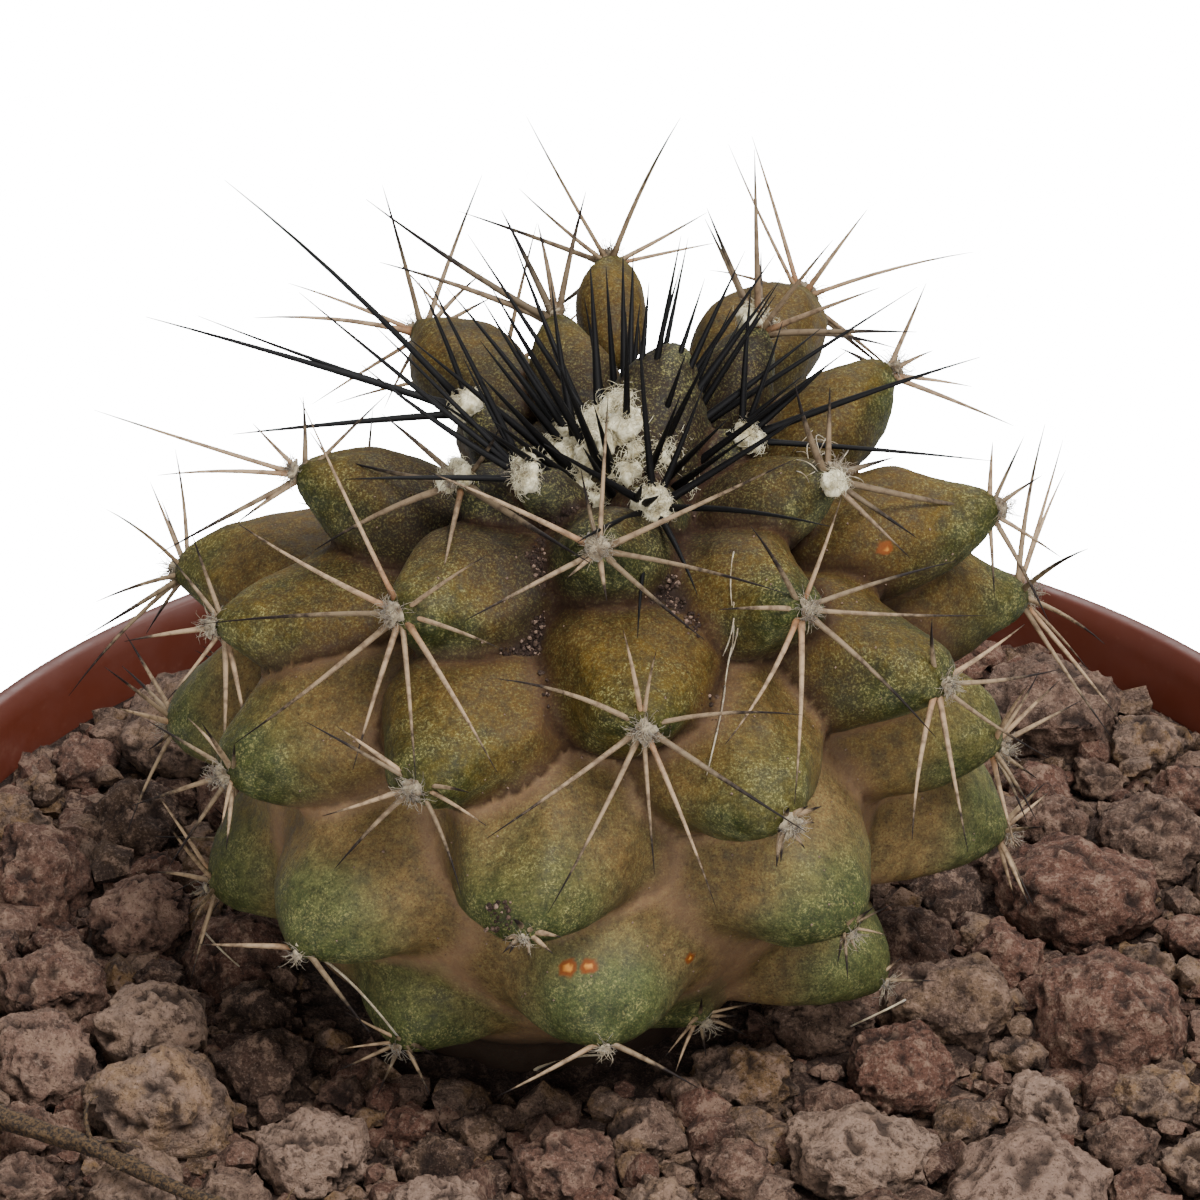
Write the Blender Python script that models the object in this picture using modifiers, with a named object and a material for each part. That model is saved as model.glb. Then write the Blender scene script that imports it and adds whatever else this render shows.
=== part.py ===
"""A copiapoa cactus in a round plastic nursery pot filled with lava grit.

The plant is a low round stem covered with rounded tubercles that follow the golden angle from
the crown down, slim in the crown, blocky on the flanks and pointed at the foot. Each tubercle
ends in an areole with a star of spines. Cream wool with black young spines fills the hollow of
the crown. Lengths are in metres and angles in degrees. The origin is the middle of the pot's
foot, +Z is up and the plant's best side faces -Y.
"""

import math
import random

import bmesh
import bpy
from mathutils import Matrix, Vector
from mathutils.bvhtree import BVHTree

# Pot
POT_HEIGHT = 0.058
POT_RIM_RADIUS = 0.0325
POT_BAND_HEIGHT = 0.008
POT_BAND_STEP = 0.0016
POT_FOOT_RADIUS = 0.0225
POT_WALL = 0.0009
POT_FLOOR = 0.0016
POT_LIP = 0.0005
POT_SIDES = 64
DRAIN_HOLES = 6
DRAIN_RADIUS = 0.0016
DRAIN_CIRCLE = 0.0145

# Clearance between pieces that touch
GAP = 0.0003

# Stem and tubercles
RIM_Z = POT_HEIGHT
GOLDEN_ANGLE = 137.508
FIRST_AZIMUTH = 102.3
APEX_INDEX = -9
FIRST_TUBERCLE = -3
LAST_TUBERCLE = 44
STEM_X = -0.0023
STEM_Y = 0.0007
LEAN = 0.16
LEAN_Z = RIM_Z + 0.0082
GIRTH = 0.0168
CROWN_Z = RIM_Z + 0.0220
STEM_DROP = 0.0248
FAR_SIDE_REACH = 0.0045
FAR_SIDE_LIFT = 0.0015
LOW_DROOP = 13.0
TUBERCLE_DEPTH = 0.0070
TUBERCLE_STRETCH = 1.95
FAR_SIDE_SLIMNESS = 0.26

# Shape of young, grown and lowest tubercles
PACKING = (0.335, 0.465, 0.52)
BLUNTNESS = (1.7, 2.25, 1.6)
UPPER_FLATNESS = (0.95, 0.95, 1.0)
UNDER_FLATNESS = (0.90, 0.62, 0.50)
LOWEST_TIP_Z = RIM_Z + 0.0012
CORE_RADIUS = 0.0129
CORE_HALF_HEIGHT = 0.0118
CORE_Z = RIM_Z + 0.0068
ROOT_X = -0.0038
ROOT_RADIUS = 0.0092
ROOT_TIP_RADIUS = 0.003
ROOT_TOP_Z = RIM_Z + 0.003
ROOT_TIP_Z = RIM_Z - 0.018
ROOT_CLEARANCE = 0.0012
AREOLE_RADIUS = 0.00075
BODY_VOXEL = 0.0004
BODY_TRIANGLES = 5200

# Tubercles that grew out of line: turn, lift and reach
OUT_OF_LINE = {
    -1: (-13, 0.0, 0.0025),
    0: (-12, -0.0005, 0.0003),
    1: (5, -0.0010, 0.0020),
    2: (-6, -0.0008, -0.0005),
    3: (-11, 0.0005, 0.0010),
    4: (0, -0.0005, 0.0),
    6: (-9, 0.0, -0.0010),
    7: (6, 0.0010, -0.0005),
    9: (8, -0.0005, 0.0005),
    11: (8, 0.0010, 0.0),
    12: (3, 0.0005, -0.0005),
    14: (-15, 0.0, -0.0015),
    16: (12, 0.0018, 0.0),
    17: (3, -0.0010, 0.0),
    21: (-11, -0.0010, 0.0010),
    22: (7, -0.0005, 0.0010),
    23: (2, 0.0005, 0.0),
    26: (-3, -0.0005, 0.0005),
    31: (-4, -0.0005, 0.0),
    34: (-12, -0.0010, 0.0020),
    36: (-6, 0.0, 0.0),
    38: (-3, 0.0010, -0.0005),
    39: (-3, -0.0010, 0.0005),
    41: (-6, 0.0015, -0.0005),
    44: (0, 0.0015, -0.0010),
}

# Spines
SPINE_SIDES = 3
SPINE_RADIUS = 0.00023
YOUNG_SPINE_RADIUS = 0.00026
SPINE_ROOT = 0.0008
SPINES_PER_AREOLE = 6
OLDEST_YOUNG = 6
SPINE_FLOOR = RIM_Z - 0.0010

# Stars seen from the front, 31 degrees above level: clock angle (0 right, 90 up) and length
VIEW_RISE = 31.0
FRONT_STARS = {
    -1: ((141, 0.0108), (135, 0.0079), (146, 0.0073), (116, 0.0084), (117, 0.0049), (182, 0.0067)),
    0: ((18, 0.0092), (353, 0.0093), (41, 0.0041), (74, 0.0044), (90, 0.0056)),
    1: ((137, 0.0126), (165, 0.0127), (162, 0.0108), (188, 0.0090), (110, 0.0050)),
    4: ((328, 0.0062), (207, 0.0060), (138, 0.0038), (47, 0.0028), (170, 0.0045), (265, 0.0040)),
    5: ((321, 0.0039), (348, 0.0070), (95, 0.0033), (117, 0.0037), (16, 0.0023), (310, 0.0042)),
    6: ((149, 0.0087), (164, 0.0072), (117, 0.0046), (75, 0.0050), (100, 0.0036)),
    7: ((209, 0.0056), (319, 0.0052), (156, 0.0071), (102, 0.0030), (86, 0.0057), (24, 0.0080),
        (346, 0.0072), (225, 0.0016), (280, 0.0020)),
    8: ((333, 0.0052), (23, 0.0016), (162, 0.0023), (345, 0.0031), (70, 0.0035)),
    9: ((212, 0.0061), (223, 0.0030), (182, 0.0052), (130, 0.0024), (82, 0.0029), (39, 0.0048),
        (311, 0.0041), (163, 0.0080)),
    10: ((237, 0.0059), (265, 0.0072), (315, 0.0068), (358, 0.0068), (180, 0.0034), (18, 0.0059),
         (74, 0.0044), (126, 0.0038)),
    12: ((219, 0.0078), (256, 0.0060), (279, 0.0062), (305, 0.0070), (343, 0.0042), (31, 0.0042),
         (113, 0.0088), (150, 0.0071), (183, 0.0073)),
    13: ((98, 0.0026), (73, 0.0029), (39, 0.0020), (292, 0.0048), (320, 0.0030), (265, 0.0035)),
    15: ((160, 0.0057), (214, 0.0070), (242, 0.0076), (274, 0.0053), (292, 0.0070), (328, 0.0070),
         (6, 0.0058), (102, 0.0038), (82, 0.0030)),
    17: ((190, 0.0034), (121, 0.0031), (102, 0.0037), (275, 0.0054), (239, 0.0034), (288, 0.0046),
         (323, 0.0023)),
    18: ((7, 0.0045), (325, 0.0050), (276, 0.0063), (254, 0.0059), (37, 0.0038), (107, 0.0026)),
    20: ((197, 0.0035), (226, 0.0042), (296, 0.0043), (336, 0.0031), (147, 0.0047), (139, 0.0036),
         (359, 0.0022)),
    33: ((176, 0.0039), (317, 0.0040)),
    36: ((203, 0.0044), (337, 0.0039)),
    39: ((5, 0.0028), (60, 0.0018)),
}

# Crown wool
WOOL_RADIUS = 0.0034
WOOL_HEIGHT = 0.0024
WOOL_Z = RIM_Z + 0.0202
WOOL_LUMP = 0.0004
CROWN_SPINES = 22
CROWN_SPINE_LENGTH = 0.0084

# The longest spines of the crown, seen from the front: clock angle and length
LONG_CROWN_SPINES = ((33, 0.0111), (123, 0.0088), (56, 0.0080))

# Gravel
BED_TOP_Z = RIM_Z - 0.0029
BED_SIDES = 48
STONE_CLASSES = ((0.0070, 12), (0.0054, 34), (0.0041, 70), (0.0031, 120))
STONE_TRIES = 4000
STONE_JITTER = 0.16
STONE_REACH = 0.0302
STONE_CROWDING = 0.80
STONE_SINK_STEP = 0.0004
STONE_SHRINK = 0.8

# Big stones in front of the plant: x, y and size
FRONT_STONES = (
    (0.0150, -0.0163, 0.0080),
    (0.0087, -0.0135, 0.0063),
    (-0.0080, -0.0181, 0.0060),
    (-0.0192, -0.0050, 0.0056),
    (-0.0028, -0.0141, 0.0055),
    (-0.0234, -0.0020, 0.0055),
    (-0.0125, -0.0130, 0.0050),
    (-0.0191, -0.0153, 0.0050),
    (-0.0154, -0.0160, 0.0042),
    (0.0010, -0.0165, 0.0040),
    (0.0040, -0.0185, 0.0040),
    (0.0039, -0.0138, 0.0035),
    (0.0160, -0.0098, 0.0038),
)

# Dry twig
TWIG_START = (-0.0268, -0.0098)
TWIG_END = (-0.0130, -0.0196)
TWIG_RADIUS = 0.00042
TWIG_POINTS = 15
TWIG_BOW = 0.0012


def clear_scene():
    """Removes every object that is in the scene."""
    for found in list(bpy.data.objects):
        bpy.data.objects.remove(found, do_unlink=True)


def new_collection(name):
    """Makes a collection in the scene."""
    made = bpy.data.collections.new(name)
    bpy.context.scene.collection.children.link(made)
    return made


def material(name, colour, roughness):
    """A plain Principled material."""
    made = bpy.data.materials.new(name)
    made.use_nodes = True
    shader = made.node_tree.nodes["Principled BSDF"]
    shader.inputs["Base Color"].default_value = (*colour, 1.0)
    shader.inputs["Roughness"].default_value = roughness
    shader.inputs["Metallic"].default_value = 0.0
    return made


def object_from(bm, name, collection):
    """Turns a bmesh into a named object and frees the bmesh."""
    mesh = bpy.data.meshes.new(name)
    bm.to_mesh(mesh)
    bm.free()
    made = bpy.data.objects.new(name, mesh)
    collection.objects.link(made)
    return made


def bake(obj):
    """Replaces an object's mesh by what its modifiers make of it."""
    bpy.context.view_layer.update()
    graph = bpy.context.evaluated_depsgraph_get()
    mesh = bpy.data.meshes.new_from_object(obj.evaluated_get(graph))
    obj.modifiers.clear()
    obj.data = mesh
    return obj


def drop_scraps(obj):
    """Keeps the largest body of a mesh and removes loose scraps that a Boolean left."""
    bm = bmesh.new()
    bm.from_mesh(obj.data)
    unseen = set(bm.verts)
    bodies = []
    while unseen:
        body = [unseen.pop()]
        for vert in body:
            for edge in vert.link_edges:
                other = edge.other_vert(vert)
                if other in unseen:
                    unseen.remove(other)
                    body.append(other)
        bodies.append(body)
    bodies.sort(key=len)
    for body in bodies[:-1]:
        bmesh.ops.delete(bm, geom=body, context="VERTS")
    bm.to_mesh(obj.data)
    bm.free()


def drop(objects):
    """Removes helper objects once a Boolean has used them."""
    for helper in list(objects):
        bpy.data.objects.remove(helper, do_unlink=True)


def hide_cutter(obj):
    """Marks a helper so that it isn't part of the object."""
    obj.hide_render = True
    obj.display_type = "WIRE"


def boolean(obj, operation, solver, other=None, group=None):
    """Joins or cuts an object with another, or with a collection, and bakes the result."""
    modifier = obj.modifiers.new(operation.lower(), "BOOLEAN")
    modifier.operation = operation
    modifier.solver = solver
    if group is None:
        modifier.object = other
    else:
        modifier.operand_type = "COLLECTION"
        modifier.collection = group
    return bake(obj)


def tree_of(obj):
    """A search tree of an object's mesh, which stands in world space."""
    bm = bmesh.new()
    bm.from_mesh(obj.data)
    tree = BVHTree.FromBMesh(bm)
    bm.free()
    return tree


def touches(bm, trees):
    """Whether a bmesh crosses any of the search trees."""
    own = BVHTree.FromBMesh(bm)
    return any(own.overlap(tree) for tree in trees)


def finish(obj, name, surface):
    """Names a finished piece, gives it its material and shades it smooth."""
    obj.name = name
    obj.data.name = name
    obj.data.materials.clear()
    obj.data.materials.append(surface)
    obj.data.shade_smooth()
    obj.data.set_sharp_from_angle(angle=math.radians(40))


def turned(profile, name, sides, collection):
    """A solid turned about Z from an outline that starts and ends on the axis."""
    bm = bmesh.new()
    points = [bm.verts.new((radius, 0.0, height)) for radius, height in profile]
    for first, second in zip(points, points[1:]):
        bm.edges.new((first, second))
    obj = object_from(bm, name, collection)
    screw = obj.modifiers.new("turn", "SCREW")
    screw.steps = sides
    screw.render_steps = sides
    screw.use_merge_vertices = True
    screw.merge_threshold = 0.00001
    return bake(obj)


# Pot


def pot_wall_radius(height):
    """Outer radius of the tapered wall below the band at a height."""
    band_foot = POT_HEIGHT - POT_BAND_HEIGHT
    shoulder = POT_RIM_RADIUS - POT_BAND_STEP
    return POT_FOOT_RADIUS + (shoulder - POT_FOOT_RADIUS) * height / band_foot


def build_pot(parts, cutters):
    """The thin pot with its rim band, its lip and the drain holes in its floor."""
    band_foot = POT_HEIGHT - POT_BAND_HEIGHT
    inner_rim = POT_RIM_RADIUS - POT_WALL
    step_z = band_foot + POT_WALL
    edge = 0.0004
    profile = [
        (0.0, POT_FLOOR),
        (pot_wall_radius(POT_FLOOR) - POT_WALL, POT_FLOOR),
        (pot_wall_radius(band_foot) - POT_WALL, band_foot),
        (inner_rim - 0.0003, step_z),
        (inner_rim - POT_LIP, POT_HEIGHT - 2 * edge),
        (inner_rim, POT_HEIGHT),
        (POT_RIM_RADIUS - edge, POT_HEIGHT),
        (POT_RIM_RADIUS, POT_HEIGHT - edge),
        (POT_RIM_RADIUS - 0.0003, band_foot + edge),
        (POT_RIM_RADIUS - 0.0006, band_foot),
        (pot_wall_radius(band_foot), band_foot),
        (POT_FOOT_RADIUS + 0.0002, 2 * edge),
        (POT_FOOT_RADIUS - edge, 0.0),
        (0.0, 0.0),
    ]
    pot = turned(profile, "pot", POT_SIDES, parts)
    for number in range(DRAIN_HOLES):
        angle = math.radians(360.0 * (number + 0.5) / DRAIN_HOLES)
        bm = bmesh.new()
        place = Matrix.Translation((DRAIN_CIRCLE * math.cos(angle), DRAIN_CIRCLE * math.sin(angle), 0.0))
        bmesh.ops.create_cone(
            bm, cap_ends=True, segments=12, radius1=DRAIN_RADIUS, radius2=DRAIN_RADIUS,
            depth=6 * POT_FLOOR, matrix=place,
        )
        hide_cutter(object_from(bm, "drain_hole", cutters))
    boolean(pot, "DIFFERENCE", "EXACT", group=cutters)
    drop(cutters.objects)
    return pot


# Plant


def growth(index):
    """Radius and height of the even spiral at an index, without the odd ones' shifts."""
    age = index - APEX_INDEX + 0.5
    radius = GIRTH * (1.0 - math.exp(-((age / 19.0) ** 1.95)))
    radius -= 0.000014 * max(0.0, age - 36.0) ** 2
    ring = 0.0009 * math.exp(-(((age - 13.0) / 6.0) ** 2))
    height = CROWN_Z + ring - STEM_DROP * (max(0.0, age - 8.0) / 46.0) ** 1.58
    return radius, height


def lowness(index):
    """How far an index has come from the shape of grown tubercles to that of the lowest ones, 0 to 1."""
    age = index - APEX_INDEX + 0.5
    return min(1.0, max(0.0, (age - 28.0) / 14.0))


def by_age(index, values):
    """A value that goes from that of young tubercles to that of grown ones and then of the lowest."""
    young, grown, low = values
    age = index - APEX_INDEX + 0.5
    value = young + (grown - young) * min(1.0, max(0.0, (age - 13.0) / 11.0))
    return value + (low - value) * lowness(index)


def spacing_width(index):
    """Half-width of a tubercle, from the room that the spiral leaves it."""
    radius, height = growth(index)
    before = growth(index - 0.5)
    after = growth(index + 0.5)
    step = math.hypot(after[0] - before[0], after[1] - before[1])
    room = 2.0 * math.pi * radius * step
    packing = by_age(index, PACKING)
    return min(packing * math.sqrt(room / 0.866), 1.1 * (max(height, LOWEST_TIP_Z) - BED_TOP_Z))


class Tubercle:
    """Place, axis and size of one tubercle of the spiral."""

    def __init__(self, index):
        turn, lift, reach = OUT_OF_LINE.get(index, (0, 0.0, 0.0))
        age = index - APEX_INDEX + 0.5
        azimuth = math.radians(FIRST_AZIMUTH + GOLDEN_ANGLE * index + turn)
        radius, height = growth(index)
        far_side = (1.0 - math.cos(azimuth)) / 2.0 * math.exp(-(((index - 12) / 9.0) ** 2))
        radius += reach + FAR_SIDE_REACH * far_side
        height = max(height + lift + FAR_SIDE_LIFT * far_side, LOWEST_TIP_Z)
        self.index = index
        self.outward = Vector((math.sin(azimuth), -math.cos(azimuth), 0.0))
        self.tip = self.outward * radius
        self.tip += Vector((STEM_X + LEAN * (height - LEAN_Z), STEM_Y, height))
        rise = 4.0 + 44.0 * math.exp(-(((age - 6.0) / 16.0) ** 2)) + 35.0 * math.exp(-((age / 5.0) ** 2))
        rise -= LOW_DROOP * lowness(index)
        if index == 7:
            rise += 10.0
        rise = math.radians(rise)
        self.axis = self.outward * math.cos(rise) + Vector((0.0, 0.0, math.sin(rise)))
        self.side = Vector((-self.outward.y, self.outward.x, 0.0))
        self.up = self.axis.cross(self.side)
        if self.up.z < 0.0:
            self.up.negate()
        self.width = spacing_width(index) * (1.0 - FAR_SIDE_SLIMNESS * far_side)
        self.bluntness = by_age(index, BLUNTNESS) - FAR_SIDE_SLIMNESS * far_side
        self.upper_flatness = by_age(index, UPPER_FLATNESS)
        self.under_flatness = by_age(index, UNDER_FLATNESS)

    def add_to(self, bm):
        """Adds the tubercle: a long egg shape that runs back into the core, flatter underneath."""
        turn = Matrix((self.side, self.up, self.axis)).transposed()
        depth = min(TUBERCLE_DEPTH, self.width * TUBERCLE_STRETCH)
        made = bmesh.ops.create_uvsphere(bm, u_segments=32, v_segments=32, radius=1.0)
        for vert in made["verts"]:
            along = min(1.0, abs(vert.co.z))
            ring = (1.0 - along ** self.bluntness) ** (1.0 / self.bluntness)
            across = Vector((vert.co.x, vert.co.y, 0.0))
            if across.length > 0.000001:
                across *= self.width * ring / across.length
            flatness = self.upper_flatness if across.y > 0.0 else self.under_flatness
            place = Vector((across.x, across.y * flatness, vert.co.z * depth - depth))
            vert.co = self.tip + turn @ place


def build_stem(scratch):
    """The green body: core, root, tubercles and areole pads grown into one skin."""
    bm = bmesh.new()
    lean = Matrix.Identity(4)
    lean[0][2] = LEAN
    core_place = Matrix.Translation((STEM_X + LEAN * (CORE_Z - LEAN_Z), STEM_Y, CORE_Z))
    core_size = Matrix.Diagonal((CORE_RADIUS, CORE_RADIUS, CORE_HALF_HEIGHT, 1.0))
    bmesh.ops.create_uvsphere(
        bm, u_segments=48, v_segments=24, radius=1.0, matrix=core_place @ lean @ core_size
    )
    root_depth = ROOT_TOP_Z - ROOT_TIP_Z
    root_place = Matrix.Translation((ROOT_X, STEM_Y, ROOT_TIP_Z + root_depth / 2.0))
    bmesh.ops.create_cone(
        bm, cap_ends=True, segments=24, radius1=ROOT_TIP_RADIUS, radius2=ROOT_RADIUS,
        depth=root_depth, matrix=root_place,
    )
    for index in range(FIRST_TUBERCLE, LAST_TUBERCLE + 1):
        tubercle = Tubercle(index)
        tubercle.add_to(bm)
        pad = min(AREOLE_RADIUS, tubercle.width * 0.3)
        pad_place = Matrix.Translation(tubercle.tip - tubercle.axis * pad * 0.6)
        bmesh.ops.create_icosphere(bm, subdivisions=2, radius=pad, matrix=pad_place)
    stem = object_from(bm, "stem", scratch)
    remesh = stem.modifiers.new("skin", "REMESH")
    remesh.mode = "VOXEL"
    remesh.voxel_size = BODY_VOXEL
    bake(stem)
    decimate = stem.modifiers.new("fewer", "DECIMATE")
    decimate.ratio = BODY_TRIANGLES / (2.0 * len(stem.data.polygons))
    bake(stem)
    return stem


def spine_bmesh(base, tip, radius):
    """A slim three-sided cone from its root to its point."""
    bm = bmesh.new()
    along = tip - base
    turn = along.to_track_quat("Z", "Y").to_matrix().to_4x4()
    place = Matrix.Translation((base + tip) / 2.0) @ turn
    bmesh.ops.create_cone(
        bm, cap_ends=True, segments=SPINE_SIDES, radius1=radius, radius2=0.0, depth=along.length,
        matrix=place,
    )
    return bm


def seen_heading(clock):
    """Direction of a clock angle in the plane that faces the front view."""
    rise = math.radians(VIEW_RISE)
    angle = math.radians(clock)
    up = Vector((0.0, math.sin(rise), math.cos(rise)))
    return Vector((math.cos(angle), 0.0, 0.0)) + up * math.sin(angle)


def star_ends(tubercle):
    """Ends of the spines of a star that is given as it looks from the front."""
    rise = math.radians(VIEW_RISE)
    toward = Vector((0.0, -math.cos(rise), math.sin(rise)))
    facing = tubercle.axis.dot(toward)
    ends = []
    for clock, length in FRONT_STARS[tubercle.index]:
        flat = seen_heading(clock)
        nearer = 0.12
        if facing > 0.35 and tubercle.index > 0:
            nearer = max(-0.7, min(0.9, (0.3 - flat.dot(tubercle.axis)) / facing))
        ends.append(tubercle.tip + (flat + toward * nearer) * length)
    return ends


def rule_ends(tubercle):
    """Ends of the spines of any other areole, drawn evenly round it by its age."""
    index = tubercle.index
    draw = random.Random(500 + index)
    if index <= OLDEST_YOUNG:
        lean_range, length_range = (46.0, 74.0), (0.0048, 0.0080)
    elif index <= 22:
        lean_range, length_range = (60.0, 78.0), (0.0045, 0.0075)
    else:
        lean_range, length_range = (60.0, 80.0), (0.0022, 0.0055)
    start = draw.uniform(0.0, 60.0)
    ends = []
    for number in range(SPINES_PER_AREOLE):
        clock = math.radians(start + 360.0 * number / SPINES_PER_AREOLE + draw.uniform(-14.0, 14.0))
        lean = math.radians(draw.uniform(*lean_range))
        length = draw.uniform(*length_range)
        spread = tubercle.side * math.cos(clock) + tubercle.up * math.sin(clock)
        ends.append(tubercle.tip + (tubercle.axis * math.cos(lean) + spread * math.sin(lean)) * length)
    return ends


def lifted(start, end):
    """Keeps a low spine's point above the stones."""
    if end.z >= SPINE_FLOOR:
        return end
    raised = end.copy()
    raised.z = min(SPINE_FLOOR, start.z)
    return raised


def build_cactus(parts, scratch, wool_seat):
    """The plant: the stem with the crown's hollow cut out and all spines grown on."""
    stem = build_stem(scratch)
    boolean(stem, "DIFFERENCE", "EXACT", other=wool_seat)
    seat_tree = tree_of(wool_seat)
    group = bpy.data.collections.new("spines")
    for index in range(FIRST_TUBERCLE + 2, LAST_TUBERCLE + 1):
        tubercle = Tubercle(index)
        radius = YOUNG_SPINE_RADIUS if index <= OLDEST_YOUNG else SPINE_RADIUS
        ends = star_ends(tubercle) if index in FRONT_STARS else rule_ends(tubercle)
        for end in ends:
            end = lifted(tubercle.tip, end)
            root = tubercle.tip - tubercle.axis * SPINE_ROOT
            bm = spine_bmesh(root, end, radius)
            if touches(bm, [seat_tree]):
                bm.free()
                continue
            object_from(bm, "spine", group)
    bpy.context.scene.collection.children.link(group)
    boolean(stem, "UNION", "MANIFOLD", group=group)
    drop_scraps(stem)
    drop(group.objects)
    bpy.data.collections.remove(group)
    parts.objects.link(stem)
    scratch.objects.unlink(stem)
    return stem


# Crown wool


def wool_centre():
    """Middle of the woolly cushion, in the hollow of the leaning crown."""
    return Vector((STEM_X + LEAN * (WOOL_Z - LEAN_Z), STEM_Y, WOOL_Z))


def wool_bmesh(margin):
    """The lumpy cushion, grown all round by a margin."""
    bm = bmesh.new()
    bmesh.ops.create_icosphere(bm, subdivisions=3, radius=1.0)
    for vert in bm.verts:
        point = vert.co.copy()
        lumps = math.sin(5.1 * point.x + 1.3) * math.sin(4.3 * point.y + 0.4) * math.cos(3.7 * point.z)
        radius = WOOL_RADIUS + WOOL_LUMP * lumps + margin
        height = WOOL_HEIGHT + WOOL_LUMP * lumps + margin
        vert.co = Vector((point.x * radius, point.y * radius, point.z * height)) + wool_centre()
    return bm


def build_crown_wool(parts, cactus):
    """The wool with the black spines that stand in it, clear of the plant's own spines."""
    wool = object_from(wool_bmesh(0.0), "wool", parts)
    cactus_tree = tree_of(cactus)
    draw = random.Random(71)
    group = bpy.data.collections.new("crown_spines")
    for number in range(CROWN_SPINES):
        azimuth = math.radians(GOLDEN_ANGLE * number)
        share = math.sqrt((number + 0.5) / CROWN_SPINES)
        outward = Vector((math.sin(azimuth), -math.cos(azimuth), 0.0))
        root = wool_centre() + outward * WOOL_RADIUS * 0.72 * share
        lean = math.radians(8.0 + 46.0 * share + draw.uniform(-5.0, 5.0))
        length = CROWN_SPINE_LENGTH * draw.uniform(0.85, 1.15)
        for attempt in range(12):
            turn = azimuth + math.radians(7.0 * attempt)
            heading = Vector((math.sin(turn), -math.cos(turn), 0.0)) * math.sin(lean)
            heading.z = math.cos(lean)
            wider = spine_bmesh(root, root + heading * length, YOUNG_SPINE_RADIUS + GAP)
            crossing = touches(wider, [cactus_tree])
            wider.free()
            if not crossing:
                bm = spine_bmesh(root, root + heading * length, YOUNG_SPINE_RADIUS)
                object_from(bm, "crown_spine", group)
                break
    for clock, length in LONG_CROWN_SPINES:
        tip = wool_centre() + seen_heading(clock) * (length + WOOL_HEIGHT)
        wider = spine_bmesh(wool_centre(), tip, YOUNG_SPINE_RADIUS + GAP)
        crossing = touches(wider, [cactus_tree])
        wider.free()
        if not crossing:
            object_from(spine_bmesh(wool_centre(), tip, YOUNG_SPINE_RADIUS), "crown_spine", group)
    bpy.context.scene.collection.children.link(group)
    boolean(wool, "UNION", "MANIFOLD", group=group)
    drop(group.objects)
    bpy.data.collections.remove(group)
    return wool


# Gravel


def stone_bmesh(number, x, y, z, size):
    """One angular stone, about its own centre's place."""
    draw = random.Random(9000 + number)
    bm = bmesh.new()
    bmesh.ops.create_icosphere(bm, subdivisions=1, radius=0.5 * size)
    for vert in bm.verts:
        vert.co *= 1.0 + draw.uniform(-STONE_JITTER, STONE_JITTER)
    long, wide, tall = draw.uniform(0.98, 1.18), draw.uniform(0.82, 1.0), draw.uniform(0.66, 0.86)
    shape = Matrix.Diagonal((long, wide, tall, 1.0))
    spin = Matrix.Rotation(draw.uniform(0.0, math.tau), 4, "Z")
    tip = Matrix.Rotation(draw.uniform(-0.35, 0.35), 4, "X")
    bm.transform(Matrix.Translation((x, y, z)) @ spin @ tip @ shape)
    return bm


def stone_layout():
    """Places and sizes of the stones, big ones first, packed side by side over the bed."""
    draw = random.Random(4711)
    stones = list(FRONT_STONES)
    for size, wanted in STONE_CLASSES:
        placed = 0
        for _ in range(STONE_TRIES):
            if placed == wanted:
                break
            angle = draw.uniform(0.0, math.tau)
            this_size = size * draw.uniform(0.86, 1.14)
            radius = (STONE_REACH - 0.5 * this_size) * math.sqrt(draw.random())
            x, y = radius * math.cos(angle), radius * math.sin(angle)
            apart = (
                math.hypot(x - other[0], y - other[1]) > STONE_CROWDING * 0.5 * (this_size + other[2])
                for other in stones
            )
            if all(apart):
                stones.append((x, y, this_size))
                placed += 1
    return stones


def clear_place(number, x, y, size, trees):
    """Height and size at which a stone clears the plant: it sinks first and then comes smaller."""
    while size > STONE_CLASSES[-1][0] * STONE_SHRINK:
        height = 0.14 * size
        while height > -0.25 * size:
            bigger = stone_bmesh(number, x, y, BED_TOP_Z + height, size + 2.4 * GAP)
            crossing = touches(bigger, trees)
            bigger.free()
            if not crossing:
                return BED_TOP_Z + height, size
            height -= STONE_SINK_STEP
        size *= STONE_SHRINK
    return None


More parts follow.
